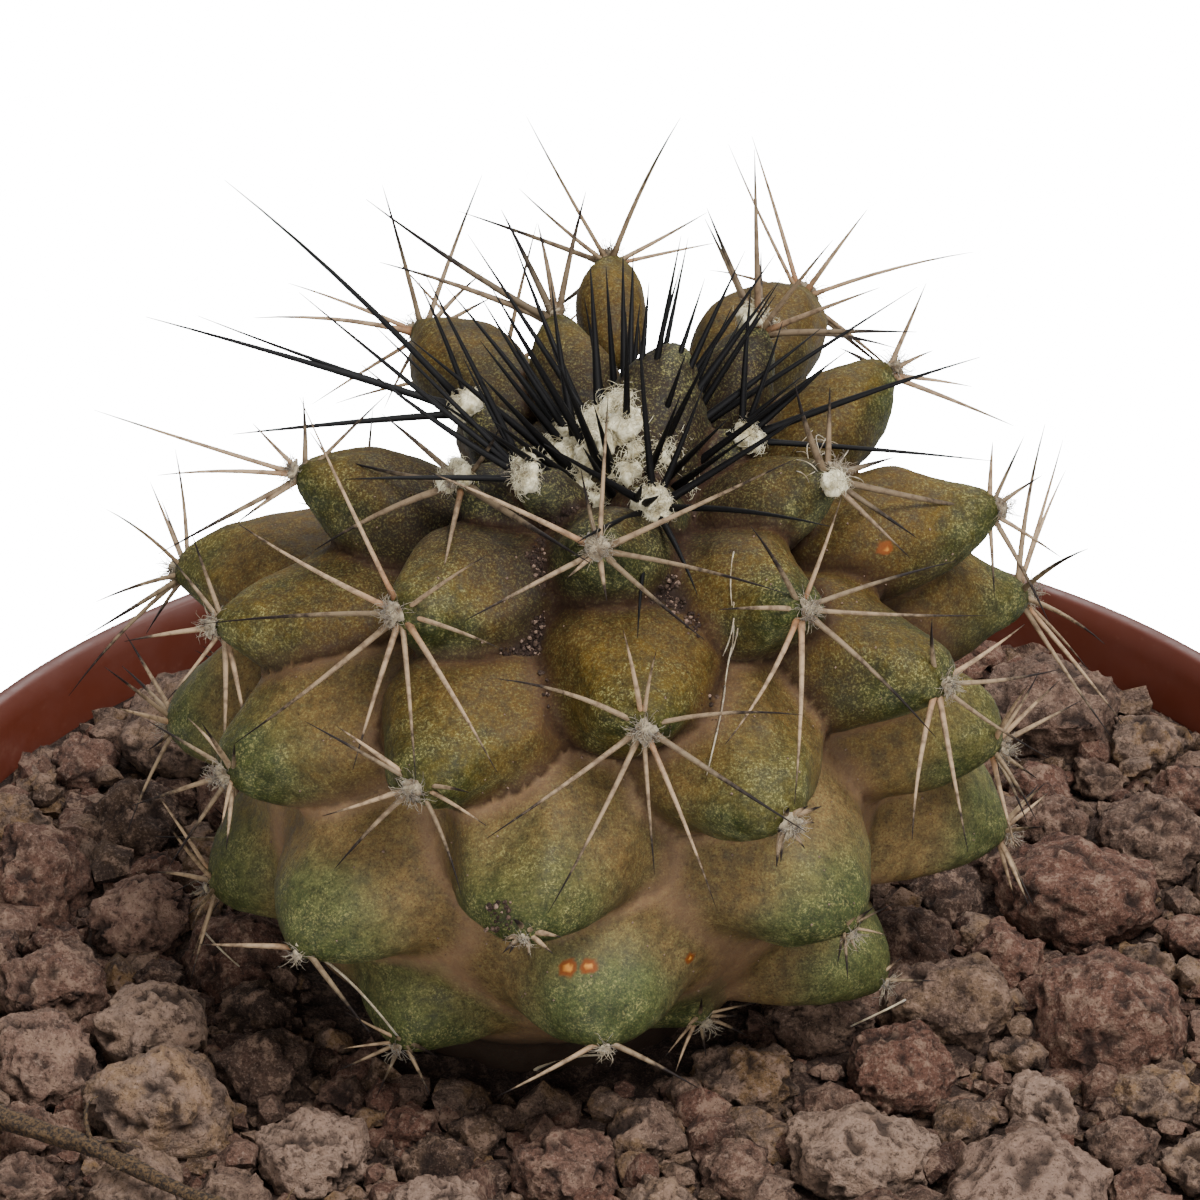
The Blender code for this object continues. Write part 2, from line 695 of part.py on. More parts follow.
def build_gravel(parts, cutters, cactus):
    """The bed of grit with a plain hole for the root, and the stones of its top layer."""
    band_foot = POT_HEIGHT - POT_BAND_HEIGHT
    foot_z = POT_FLOOR + GAP
    profile = [
        (0.0, BED_TOP_Z),
        (POT_RIM_RADIUS - POT_WALL - POT_LIP - GAP, BED_TOP_Z),
        (POT_RIM_RADIUS - POT_WALL - POT_LIP - GAP, band_foot + POT_WALL + GAP),
        (pot_wall_radius(band_foot) - POT_WALL - GAP - 0.0002, band_foot - 2 * GAP),
        (pot_wall_radius(foot_z) - POT_WALL - GAP - 0.0002, foot_z),
        (0.0, foot_z),
    ]
    gravel = turned(profile, "gravel", BED_SIDES, parts)
    bm = bmesh.new()
    root_depth = ROOT_TOP_Z - ROOT_TIP_Z
    place = Matrix.Translation((ROOT_X, STEM_Y, ROOT_TIP_Z - 2 * GAP + root_depth / 2.0))
    bmesh.ops.create_cone(
        bm, cap_ends=True, segments=24, radius1=ROOT_TIP_RADIUS + ROOT_CLEARANCE,
        radius2=ROOT_RADIUS + ROOT_CLEARANCE, depth=root_depth, matrix=place,
    )
    hole = object_from(bm, "root_hole", cutters)
    hide_cutter(hole)
    boolean(gravel, "DIFFERENCE", "EXACT", other=hole)
    hole_tree = tree_of(hole)
    cactus_tree = tree_of(cactus)
    group = bpy.data.collections.new("stones")
    for number, (x, y, size) in enumerate(stone_layout()):
        if math.hypot(x - ROOT_X, y - STEM_Y) < ROOT_RADIUS + 0.45 * size:
            continue
        place = clear_place(number, x, y, size, [cactus_tree, hole_tree])
        if place is not None:
            object_from(stone_bmesh(number, x, y, *place), "stone", group)
    bpy.context.scene.collection.children.link(group)
    boolean(gravel, "UNION", "MANIFOLD", group=group)
    drop(group.objects)
    bpy.data.collections.remove(group)
    drop(cutters.objects)
    return gravel


# Dry twig


def build_twig(parts, gravel):
    """A dry bit of root that lies across the stones near the pot's edge."""
    tree = tree_of(gravel)
    start, end = Vector(TWIG_START), Vector(TWIG_END)
    aside = Vector((end.y - start.y, start.x - end.x)).normalized()
    spots = []
    for number in range(TWIG_POINTS):
        share = number / (TWIG_POINTS - 1)
        wave = math.sin(math.pi * share) + 0.25 * math.sin(3.0 * math.pi * share)
        spots.append(start.lerp(end, share) + aside * TWIG_BOW * wave)
    tops = []
    for spot in spots:
        hit = tree.ray_cast(Vector((spot.x, spot.y, RIM_Z + 0.02)), Vector((0.0, 0.0, -1.0)))[0]
        tops.append(hit.z)
    carried = [max(tops[max(0, n - 3):n + 4]) for n in range(TWIG_POINTS)]
    near = [carried[max(0, n - 2):n + 3] for n in range(TWIG_POINTS)]
    smooth = [sum(heights) / len(heights) for heights in near]
    raise_by = TWIG_RADIUS + GAP
    while True:
        curve = bpy.data.curves.new("dry_twig", "CURVE")
        curve.dimensions = "3D"
        curve.bevel_depth = TWIG_RADIUS
        curve.bevel_resolution = 1
        curve.use_fill_caps = True
        spline = curve.splines.new("POLY")
        spline.points.add(TWIG_POINTS - 1)
        for number, (point, spot) in enumerate(zip(spline.points, spots)):
            share = number / (TWIG_POINTS - 1)
            point.co = (spot.x, spot.y, smooth[number] + raise_by, 1.0)
            point.radius = 1.15 - 0.65 * share
        guide = bpy.data.objects.new("twig_guide", curve)
        parts.objects.link(guide)
        bpy.context.view_layer.update()
        graph = bpy.context.evaluated_depsgraph_get()
        mesh = bpy.data.meshes.new_from_object(guide.evaluated_get(graph))
        bpy.data.objects.remove(guide, do_unlink=True)
        bm = bmesh.new()
        bm.from_mesh(mesh)
        bmesh.ops.remove_doubles(bm, verts=bm.verts, dist=0.000001)
        if not touches(bm, [tree]):
            return object_from(bm, "dry_twig", parts)
        bm.free()
        raise_by += 0.0001


def main():
    clear_scene()
    parts = new_collection("copiapoa_cactus")
    cutters = new_collection("cutters")
    cutters.hide_render = True
    scratch = new_collection("scratch")

    pot = build_pot(parts, cutters)
    wool_seat = object_from(wool_bmesh(1.2 * GAP), "wool_seat", cutters)
    hide_cutter(wool_seat)
    cactus = build_cactus(parts, scratch, wool_seat)
    drop([wool_seat])
    crown_wool = build_crown_wool(parts, cactus)
    gravel = build_gravel(parts, cutters, cactus)
    twig = build_twig(parts, gravel)
    bpy.data.collections.remove(scratch)

    finish(pot, "pot", material("terracotta plastic", (0.16, 0.045, 0.022), 0.45))
    finish(cactus, "cactus", material("olive skin", (0.115, 0.115, 0.035), 0.6))
    finish(crown_wool, "crown_wool", material("cream wool", (0.62, 0.56, 0.42), 0.95))
    finish(gravel, "gravel", material("lava grit", (0.16, 0.095, 0.075), 0.9))
    finish(twig, "dry_twig", material("dry twig", (0.25, 0.17, 0.1), 0.85))


main()
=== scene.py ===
"""Looks of a small copiapoa cactus standing in lava grit in its round nursery pot.

The spiral of tubercles, the stars of spines and the layout of the stones follow the same rules as
the plain solids of the frame, so that each finer piece lies where its solid lies. Lengths are in
metres and angles in degrees. The pot stands on z = 0 and the plant's best side faces -Y.
"""

import logging
from dataclasses import dataclass, field
from enum import Enum
from math import atan2, cos, exp, hypot, pi, radians, sin, sqrt, tau
from random import Random
from typing import Iterator

import bmesh
import bpy
import numpy as np
from mathutils import Matrix, Vector, noise
from mathutils.bvhtree import BVHTree


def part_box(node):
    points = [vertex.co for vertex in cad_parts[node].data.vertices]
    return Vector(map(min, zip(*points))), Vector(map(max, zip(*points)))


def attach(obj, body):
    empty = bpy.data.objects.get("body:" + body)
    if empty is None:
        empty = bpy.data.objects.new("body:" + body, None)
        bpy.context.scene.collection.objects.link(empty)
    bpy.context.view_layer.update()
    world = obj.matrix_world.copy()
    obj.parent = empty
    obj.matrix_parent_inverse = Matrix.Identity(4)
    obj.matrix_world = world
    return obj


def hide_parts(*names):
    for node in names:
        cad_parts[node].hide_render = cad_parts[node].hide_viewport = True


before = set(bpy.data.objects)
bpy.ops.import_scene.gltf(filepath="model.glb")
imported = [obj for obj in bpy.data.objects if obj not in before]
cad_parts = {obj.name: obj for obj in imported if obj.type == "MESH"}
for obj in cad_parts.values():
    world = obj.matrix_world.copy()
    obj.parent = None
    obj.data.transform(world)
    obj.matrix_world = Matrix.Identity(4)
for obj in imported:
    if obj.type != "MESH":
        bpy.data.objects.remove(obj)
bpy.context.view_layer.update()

log = logging.getLogger("copiapoa")

MM = 0.001
PHOTO_SIDE = 1200

FAR_AWAY = Vector((0.0, 0.0, 9.0))

Pixel = tuple[float, float]
ByAge = tuple[float, float, float]
Piece = bpy.types.Object
Mesh = bmesh.types.BMesh
Material = bpy.types.Material
Socket = bpy.types.NodeSocket
Colour = tuple[float, float, float, float]
Feed = Socket | Colour | float

# Tubercles that grew out of line: turn, lift and reach
OUT_OF_LINE = {
    -1: (-13, 0.0, 0.0025),
    0: (-12, -0.0005, 0.0003),
    1: (5, -0.0010, 0.0020),
    2: (-6, -0.0008, -0.0005),
    3: (-11, 0.0005, 0.0010),
    4: (0, -0.0005, 0.0),
    6: (-9, 0.0, -0.0010),
    7: (6, 0.0010, -0.0005),
    9: (8, -0.0005, 0.0005),
    11: (8, 0.0010, 0.0),
    12: (3, 0.0005, -0.0005),
    14: (-15, 0.0, -0.0015),
    16: (12, 0.0018, 0.0),
    17: (3, -0.0010, 0.0),
    21: (-11, -0.0010, 0.0010),
    22: (7, -0.0005, 0.0010),
    23: (2, 0.0005, 0.0),
    26: (-3, -0.0005, 0.0005),
    31: (-4, -0.0005, 0.0),
    34: (-12, -0.0010, 0.0020),
    36: (-6, 0.0, 0.0),
    38: (-3, 0.0010, -0.0005),
    39: (-3, -0.0010, 0.0005),
    41: (-6, 0.0015, -0.0005),
    44: (0, 0.0015, -0.0010),
}

# Tubercles of another build: nod of the axis in degrees, share of the width, lift and turn
BUILDS = {
    -2: (0.0, 2.2, 2.3 * MM, -34.0),
    7: (10.0, 1.0, 0.0, 0.0),
    11: (0.0, 0.78, 0.0, 0.0),
    14: (-12.0, 0.92, 0.7 * MM, 0.0),
    16: (-8.0, 0.98, 0.3 * MM, 0.0),
}

# Stars of spines that face the camera: clock angle (0 right, 90 up) and length as seen
FRONT_STARS = {
    -1: ((141, 0.0108), (135, 0.0079), (146, 0.0073), (116, 0.0084), (117, 0.0049), (182, 0.0067)),
    0: ((18, 0.0092), (353, 0.0093), (41, 0.0041), (74, 0.0044), (90, 0.0056)),
    1: ((137, 0.0126), (165, 0.0127), (162, 0.0108), (188, 0.0090), (110, 0.0050)),
    4: ((328, 0.0062), (207, 0.0060), (138, 0.0038), (47, 0.0028), (170, 0.0045), (265, 0.0040)),
    5: ((321, 0.0039), (348, 0.0070), (95, 0.0033), (117, 0.0037), (16, 0.0023), (310, 0.0042)),
    6: ((149, 0.0087), (164, 0.0072), (117, 0.0046), (75, 0.0050), (100, 0.0036)),
    7: ((209, 0.0056), (319, 0.0052), (156, 0.0071), (102, 0.0030), (86, 0.0057), (24, 0.0080),
        (346, 0.0072), (225, 0.0016), (280, 0.0020)),
    8: ((333, 0.0052), (23, 0.0016), (162, 0.0023), (345, 0.0031), (70, 0.0035)),
    9: ((212, 0.0061), (223, 0.0030), (182, 0.0052), (130, 0.0024), (82, 0.0029), (39, 0.0048),
        (311, 0.0041), (163, 0.0080)),
    10: ((237, 0.0059), (265, 0.0072), (315, 0.0068), (358, 0.0068), (180, 0.0034), (18, 0.0059),
         (74, 0.0044), (126, 0.0038)),
    12: ((219, 0.0078), (256, 0.0060), (279, 0.0062), (305, 0.0070), (343, 0.0042), (31, 0.0042),
         (113, 0.0088), (150, 0.0071), (183, 0.0073)),
    13: ((98, 0.0026), (73, 0.0029), (39, 0.0020), (292, 0.0048), (320, 0.0030), (265, 0.0035)),
    15: ((160, 0.0057), (214, 0.0070), (242, 0.0076), (274, 0.0053), (292, 0.0070), (328, 0.0070),
         (6, 0.0058), (102, 0.0038), (82, 0.0030)),
    17: ((190, 0.0034), (121, 0.0031), (102, 0.0037), (275, 0.0054), (239, 0.0034), (288, 0.0046),
         (323, 0.0023)),
    18: ((7, 0.0045), (325, 0.0050), (276, 0.0063), (254, 0.0059), (37, 0.0038), (107, 0.0026)),
    20: ((197, 0.0035), (226, 0.0042), (296, 0.0043), (336, 0.0031), (147, 0.0047), (139, 0.0036),
         (359, 0.0022)),
    33: ((176, 0.0039), (317, 0.0040)),
    36: ((203, 0.0044), (337, 0.0039)),
    39: ((5, 0.0028), (60, 0.0018)),
}

# The longest spines of the crown, seen from the front: clock angle and length
LONG_CROWN_SPINES = ((33, 0.0111), (123, 0.0088), (56, 0.0080))

# The upright black spines in the photograph's middle: foot in the wool and point, in its pixels
UPRIGHT_CROWN_SPINES = (
    ((574, 436), (551, 281)),
    ((600, 430), (590, 263)),
    ((626, 428), (623, 251)),
    ((634, 426), (649, 282)),
    ((640, 430), (680, 269)),
    ((652, 434), (705, 278)),
    ((660, 436), (745, 251)),
    ((664, 440), (774, 287)),
    ((668, 446), (820, 329)),
)

# Old areoles whose spines have broken off to woody stubs, and how much of them is left
STUBS = {23: 0.3, 28: 0.3, 31: 0.4, 39: 0.7, 41: 0.55, 44: 0.55}

# Big stones in front of the plant: x, y and size
FRONT_STONES = (
    (0.0150, -0.0163, 0.0080),
    (0.0087, -0.0135, 0.0063),
    (-0.0080, -0.0181, 0.0060),
    (-0.0192, -0.0050, 0.0056),
    (-0.0028, -0.0141, 0.0055),
    (-0.0234, -0.0020, 0.0055),
    (-0.0125, -0.0130, 0.0050),
    (-0.0191, -0.0153, 0.0050),
    (-0.0154, -0.0160, 0.0042),
    (0.0010, -0.0165, 0.0040),
    (0.0040, -0.0185, 0.0040),
    (0.0039, -0.0138, 0.0035),
    (0.0160, -0.0098, 0.0038),
)

# Hue (0 red-brown, 1 grey) and brightness of those stones
FRONT_SHADES = (
    (0.35, 0.85), (0.85, 0.93), (0.50, 0.88), (0.75, 0.85), (0.25, 0.68), (0.40, 0.65), (0.60, 0.88),
    (0.70, 0.78), (0.60, 0.72), (0.75, 0.80), (0.80, 0.85), (0.40, 0.65), (0.60, 0.93),
)


def rgb(red: float, green: float, blue: float) -> Colour:
    """A colour from its screen values, 0 to 255, made linear."""
    linear = [(part / 255.0 / 12.92) if part <= 10 else ((part / 255.0 + 0.055) / 1.055) ** 2.4
              for part in (red, green, blue)]
    return (linear[0], linear[1], linear[2], 1.0)


def scatter(draw: Random, low: float = -1.0, high: float = 1.0) -> Vector:
    """A vector drawn from a cube, with its upward part from low to high."""
    return Vector((draw.uniform(-1, 1), draw.uniform(-1, 1), draw.uniform(low, high)))


def any_way(draw: Random) -> Vector:
    """A vector that points in any direction, each as likely as another."""
    return Vector((draw.gauss(0, 1), draw.gauss(0, 1), draw.gauss(0, 1)))


def pixel_between(draw: Random, low: Pixel, high: Pixel) -> Pixel:
    """A pixel drawn from the area between two others."""
    return draw.uniform(low[0], high[0]), draw.uniform(low[1], high[1])


def outward(azimuth: float) -> Vector:
    """The level direction at an angle round the plant: 0 is to the front and a quarter to the right."""
    return Vector((sin(azimuth), -cos(azimuth), 0.0))


def add_cone(bm: Mesh, sides: int, foot: float, top: float, height: float, middle: tuple) -> None:
    """Adds an upright closed cone or cylinder about a point."""
    bmesh.ops.create_cone(
        bm, cap_ends=True, segments=sides, radius1=foot, radius2=top, depth=height,
        matrix=Matrix.Translation(middle),
    )


def slim_cylinder(sides: int, rings: int) -> Mesh:
    """A closed cylinder of radius 1 from z = 0 to 1, cut into rings along its length."""
    bm = bmesh.new()
    add_cone(bm, sides, 1.0, 1.0, 1.0, (0.0, 0.0, 0.5))
    long_edges = [edge for edge in bm.edges if abs(edge.verts[0].co.z - edge.verts[1].co.z) > 0.5]
    bmesh.ops.subdivide_edges(bm, edges=long_edges, cuts=rings - 1)
    return bm


def relax(bm: Mesh, passes: int) -> None:
    """Smooths a mesh a few times."""
    axes = {"use_axis_x": True, "use_axis_y": True, "use_axis_z": True}
    for _ in range(passes):
        bmesh.ops.smooth_vert(bm, verts=bm.verts, factor=0.5, **axes)


def mesh_object(bm: Mesh, name: str) -> Piece:
    """Turns a bmesh into an object of the scene and frees the bmesh.

    Args:
        bm: The finished shape, in world space.
        name: The piece's name.

    Returns:
        The new object, at the origin.
    """
    mesh = bpy.data.meshes.new(name)
    bm.to_mesh(mesh)
    bm.free()
    made = bpy.data.objects.new(name, mesh)
    bpy.context.scene.collection.objects.link(made)
    return made


def baked(obj: Piece) -> Piece:
    """Replaces an object's mesh by what its modifiers make of it.

    Args:
        obj: The object with live modifiers.

    Returns:
        The same object, without modifiers.
    """
    bpy.context.view_layer.update()
    graph = bpy.context.evaluated_depsgraph_get()
    mesh = bpy.data.meshes.new_from_object(obj.evaluated_get(graph))
    obj.modifiers.clear()
    obj.data = mesh
    return obj


def clamp(value: float, low: float = 0.0, high: float = 1.0) -> float:
    """A value kept between two others."""
    return min(high, max(low, value))


def bell(value: float, middle: float, span: float) -> float:
    """A bell curve: 1 at its middle and about a third of that a span away."""
    return exp(-(((value - middle) / span) ** 2))


def smooth_step(low: float, high: float, value: np.ndarray) -> np.ndarray:
    """Eases from 0 at low to 1 at high for a whole array."""
    share = np.clip((value - low) / (high - low), 0.0, 1.0)
    return share * share * (3.0 - 2.0 * share)


def eased(low: float, high: float, value: float) -> float:
    """Eases one number from 0 at low to 1 at high, quicker than the array does."""
    share = clamp((value - low) / (high - low))
    return share * share * (3.0 - 2.0 * share)


def write_attribute(piece: Piece, name: str, *channels: np.ndarray) -> None:
    """Stores three values for each vertex as a colour attribute.

    Args:
        piece: The piece whose mesh takes the attribute.
        name: The attribute's name, which a material reads.
        channels: The three values, each an array with one of them for each vertex.
    """
    values = np.ones((len(piece.data.vertices), 4), dtype=np.float32)
    for channel, data in enumerate(channels):
        values[:, channel] = data
    layer = piece.data.attributes.new(name, "FLOAT_COLOR", "POINT")
    layer.data.foreach_set("color", values.ravel())


def surface_tree(*pieces: Piece) -> BVHTree:
    """A search tree of finished pieces, or of nodes of the frame, together."""
    bm = bmesh.new()
    for piece in pieces:
        bm.from_mesh(piece.data)
    tree = BVHTree.FromBMesh(bm)
    bm.free()
    return tree


def face_values(piece: Piece, attribute: str) -> np.ndarray:
    """The first value of a colour attribute at each face's first corner."""
    values = np.empty(len(piece.data.vertices) * 4, dtype=np.float32)
    piece.data.attributes[attribute].data.foreach_get("color", values)
    corners = np.empty(len(piece.data.loops), dtype=np.int32)
    piece.data.loops.foreach_get("vertex_index", corners)
    starts = np.empty(len(piece.data.polygons), dtype=np.int32)
    piece.data.polygons.foreach_get("loop_start", starts)
    return values.reshape(-1, 4)[corners[starts], 0]


class Canvas:
    """Gathers many small parts into one piece."""

    def __init__(self, layer: str = "") -> None:
        """Starts an empty piece, with a colour attribute if one is named."""
        self.bm = bmesh.new()
        self.scratch = bpy.data.meshes.new("scratch")
        if layer:
            self.bm.verts.layers.float_color.new(layer)

    def add(self, part: Mesh) -> None:
        """Takes up a part, whose own mesh is freed."""
        part.to_mesh(self.scratch)
        part.free()
        self.bm.from_mesh(self.scratch)

    def lift_off(self, name: str) -> Piece:
        """Turns what was gathered into an object."""
        bpy.data.meshes.remove(self.scratch)
        return mesh_object(self.bm, name)


class Slot(Enum):
    """Material slots of the record."""

    POT = "pot_plastic"
    SKIN = "cactus_skin"
    WOOL = "crown_wool"
    GRIT = "lava_grit"
    TWIG = "dry_root"


def settle(piece: Piece, material: Material, slot: Slot, *nodes: str) -> None:
    """Gives a finished piece its material and its body, and hides the nodes of the frame that it replaces.

    Args:
        piece: The finished piece.
        material: Its finish.
        slot: The record's slot for the piece's finish; not used.
        nodes: Nodes of the frame that it replaces.
    """
    piece.data.materials.clear()
    piece.data.materials.append(material)
    piece.data.shade_smooth()
    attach(piece, "root")
    if nodes:
        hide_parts(*nodes)
    log.info("%s: %d faces", piece.name, len(piece.data.polygons))


class Paint:
    """A material's node tree, written one node at a time."""

    def __init__(self, name: str) -> None:
        """Starts a material with its Principled shader."""
        self.material = bpy.data.materials.new(name)
        self.material.use_nodes = True
        self.tree = self.material.node_tree
        self.shader = self.tree.nodes["Principled BSDF"]
        self.place = self.node("ShaderNodeTexCoord").outputs["Object"]

    def node(self, kind: str, sockets: dict | None = None, **settings: str | bool) -> bpy.types.Node:
        """Adds a node.

        Args:
            kind: The node's type.
            sockets: What goes into its inputs, each a value or another node's output.
            settings: The node's own settings.

        Returns:
            The new node.
        """
        made = self.tree.nodes.new(kind)
        for key, value in settings.items():
            setattr(made, key, value)
        for key, value in (sockets or {}).items():
            self.feed(made.inputs[key], value)
        return made

    def feed(self, socket: Socket, value: Feed) -> None:
        """Links an output to a socket, or sets the socket's own value."""
        if isinstance(value, Socket):
            self.tree.links.new(value, socket)
        else:
            socket.default_value = value

    def channels(self, attribute: str) -> tuple[Socket, Socket, Socket]:
        """The three values of a colour attribute of the piece's own mesh."""
        source = self.node("ShaderNodeAttribute", attribute_name=attribute)
        split = self.node("ShaderNodeSeparateColor", {"Color": source.outputs["Color"]})
        return split.outputs[0], split.outputs[1], split.outputs[2]

    def grain(self, size: float, detail: float = 3.0, rough: float = 0.55) -> Socket:
        """Noise over the piece.

        Args:
            size: Width of its features, in metres.
            detail: How many finer octaves it has.
            rough: How strong those are.

        Returns:
            The noise value, about 0.5 on average.
        """
        sockets = {"Vector": self.place, "Scale": 1.0 / size, "Detail": detail, "Roughness": rough}
        return self.node("ShaderNodeTexNoise", sockets).outputs[0]

    def cells(self, size: float) -> Socket:
        """Distance to the nearest of scattered points, 0 on a point."""
        return self.node("ShaderNodeTexVoronoi", {"Vector": self.place, "Scale": 1.0 / size}).outputs[0]

    def level(self, value: Socket, low: float, high: float, start: float = 0.0, end: float = 1.0) -> Socket:
        """Remaps a value that runs from low to high, clamped."""
        sockets = {"Value": value, 1: low, 2: high, 3: start, 4: end}
        return self.node("ShaderNodeMapRange", sockets, interpolation_type="SMOOTHSTEP").outputs[0]

    def sum(self, operation: str, first: Feed, second: Feed) -> Socket:
        """One step of arithmetic on two values."""
        return self.node("ShaderNodeMath", {0: first, 1: second}, operation=operation).outputs[0]

    def times(self, first: Feed, second: Feed) -> Socket:
        """Two values multiplied."""
        return self.sum("MULTIPLY", first, second)

    def plus(self, first: Feed, second: Feed, share: float = 1.0) -> Socket:
        """A value with a share of another added."""
        return self.sum("ADD", first, second if share == 1.0 else self.times(second, share))

    def mix(self, share: Feed, first: Feed, second: Feed, blend: str = "MIX") -> Socket:
        """Mixes two colours.

        Args:
            share: How much of the second one shows.
            first: Colour, or another node's output.
            second: Colour, or another node's output.
            blend: How they are blended.

        Returns:
            The mixed colour.
        """
        sockets = {0: share, 6: first, 7: second}
        made = self.node("ShaderNodeMix", sockets, data_type="RGBA", blend_type=blend, clamp_factor=True)
        return made.outputs[2]

    def coat(
        self, under: Feed, over: Feed, value: Socket, low: float, high: float, most: float = 1.0
    ) -> Socket:
        """Lays one colour over another where a value says so.

        Args:
            under: Colour, or another node's output.
            over: The colour laid over it.
            value: What decides how much of it shows.
            low: Value at which it starts to show.
            high: Value at which it shows most.
            most: How much of it shows then.

        Returns:
            The mixed colour.
        """
        return self.mix(self.level(value, low, high, 0.0, most), under, over)

    def bump(self, height: Socket, strength: float, distance: float, under: Socket | None = None) -> Socket:
        """Turns a height into a bent normal, on top of another if there is one."""
        sockets = {"Height": height, "Strength": strength, "Distance": distance}
        if under is not None:
            sockets["Normal"] = under
        return self.node("ShaderNodeBump", sockets).outputs[0]

    def finish(
        self, colour: Socket, roughness: Feed, normal: Socket | None = None, **constants: float
    ) -> Material:
        """Connects the shader.

        Args:
            colour: Base colour.
            roughness: Value or output.
            normal: Bent normal, if any.
            constants: Values of further shader sockets, with _ for a space.

        Returns:
            The finished material.
        """
        self.feed(self.shader.inputs["Base Color"], colour)
        self.feed(self.shader.inputs["Roughness"], roughness)
        if normal is not None:
            self.feed(self.shader.inputs["Normal"], normal)
        for key, value in constants.items():
            self.shader.inputs[key.replace("_", " ")].default_value = value
        return self.material


@dataclass(frozen=True)
class SkinFinish:
    """Waxy olive skin with pale specks, green noses, a plum crown and pink low valleys; painted shade
    darkens the undersides, the crown's hollow and, red-brown, the creases.
    """

    ochre: Colour = rgb(94, 72, 15)
    bronze: Colour = rgb(72, 52, 24)
    olive: Colour = rgb(50, 50, 10)
    moss: Colour = rgb(42, 54, 12)
    tan: Colour = rgb(124, 102, 72)
    sage: Colour = rgb(96, 107, 71)
    shade: Colour = rgb(26, 28, 8)
    plum: Colour = rgb(36, 27, 22)
    # Painted shade of the creases; also the colour of the dark specks
    crease: Colour = rgb(28, 14, 9)
    # Painted shade over the valleys of the upper tubercles
    russet_valley_shade: Colour = rgb(54, 32, 20)
    pink: Colour = rgb(132, 102, 79)
    speck: Colour = rgb(150, 146, 96)
    grey: Colour = rgb(104, 112, 84)
    scar: Colour = rgb(112, 58, 14)
    scar_heart: Colour = rgb(190, 128, 52)
    # Colour of dirt stains, and of the painted shade on the foot below the rim
    dirt: Colour = rgb(34, 24, 20)
    mottle_dark: Colour = rgb(70, 66, 52)
    mottle_light: Colour = rgb(180, 174, 152)
    mottle: float = 0.62
    blotch_size: float = 2.4 * MM
    speck_size: float = 0.10 * MM
    valley: float = 0.66
    valley_spread: float = 0.32

    def material(self) -> Material:
        """Builds the finish.

        Returns:
            The material, which reads the attributes form, age and marks.
        """
        paint = Paint("cactus skin")
        crease, depth, upper = paint.channels("form")
        youth_and_crown_shade, low, tone = paint.channels("age")
        scar, bloom, dirt = paint.channels("marks")
        blotch = paint.grain(self.blotch_size, 4.0)
        fine = paint.grain(0.5 * MM, 4.0, 0.7)
        specks = paint.grain(self.speck_size, 3.0, 0.8)
        broad = paint.grain(6.0 * MM, 2.0)
        # Olive to ochre, brown on the backs of the tubercles, sage and tan on the lowest ones
        warm = paint.plus(paint.times(paint.level(upper, 0.3, 0.9), 0.4), blotch)
        warm = paint.plus(warm, tone, 0.3)
        warm = paint.plus(warm, paint.sum("SUBTRACT", broad, 0.5))
        colour = paint.coat(self.olive, self.ochre, warm, 0.64, 1.02)
        deep = paint.plus(depth, blotch, 0.4)
        back = paint.plus(depth, paint.grain(1.7 * MM, 3.0, 0.6), 0.9)
        back = paint.times(paint.level(back, 0.68, 1.10, 0.0, 0.55), paint.level(low, 0.9, 0.2))
        colour = paint.mix(back, colour, self.bronze)
        old = paint.coat(self.sage, self.tan, deep, 0.35, 0.85)
        colour = paint.mix(paint.times(low, 0.75), colour, old)
        # Green noses, painted shade on the undersides, and the plum of young skin, which near the crown is
        # also painted shade in its hollow
        nose = paint.level(paint.plus(depth, fine, 0.3), 0.68, 0.15)
        flank = paint.level(paint.plus(upper, blotch, 0.6), 1.15, 0.5, 0.35, 1.0)
        colour = paint.mix(paint.times(nose, flank), colour, self.moss)
        colour = paint.coat(colour, self.shade, upper, 0.42, 0.1, 0.55)
        colour = paint.coat(colour, self.plum, youth_and_crown_shade, 0.0, 1.0, 0.92)
        # Grey bloom, pale and dark specks, fine mottle
        patch = paint.level(paint.grain(1.1 * MM, 3.0, 0.6), 0.42, 0.62)
        near_nose = paint.times(paint.level(depth, 0.75, 0.1), patch)
        grey = paint.times(near_nose, paint.level(upper, 0.8, 0.3, 0.1, 0.6))
        colour = paint.mix(paint.times(grey, bloom), colour, self.grey)
        pale = paint.times(paint.level(specks, 0.50, 0.65), paint.level(near_nose, 0.0, 1.0, 0.35, 0.95))
        colour = paint.mix(pale, colour, self.speck)
        colour = paint.coat(colour, self.crease, specks, 0.46, 0.32, 0.6)
        mottle = paint.coat(self.mottle_dark, self.mottle_light, fine, 0.3, 0.7)
        colour = paint.mix(self.mottle, colour, mottle, "OVERLAY")
        # Valleys between the tubercles: painted shade spreading russet from the creases, the low skin's own
        # pink; the creases' painted shadow line, dirt with painted shade at the foot, and scars
        spread = paint.plus(paint.sum("POWER", crease, self.valley_spread), blotch, 0.5)
        valley = paint.mix(low, self.russet_valley_shade, self.pink)
        colour = paint.coat(colour, valley, spread, 0.60, 1.32, self.valley)
        # Painted shadow: a dark red-brown line along each crease
        colour = paint.coat(colour, self.crease, crease, 0.66, 1.0, 0.5)
        # Dark dirt stains in the creases, and painted shade on the foot below the rim
        colour = paint.mix(dirt, colour, self.dirt)
        colour = paint.coat(colour, self.scar, scar, 0.1, 0.5)
        colour = paint.coat(colour, self.scar_heart, scar, 0.6, 0.98)
        normal = paint.bump(specks, 0.45, 0.03 * MM)
        normal = paint.bump(fine, 0.4, 0.10 * MM, normal)
        rough = paint.sum("MAXIMUM", paint.level(fine, 0.3, 0.7, 0.58, 0.78), crease)
        wax = {"Specular_IOR_Level": 0.22, "Subsurface_Weight": 0.05, "Subsurface_Scale": 0.0012}
        return paint.finish(colour, rough, normal, **wax)


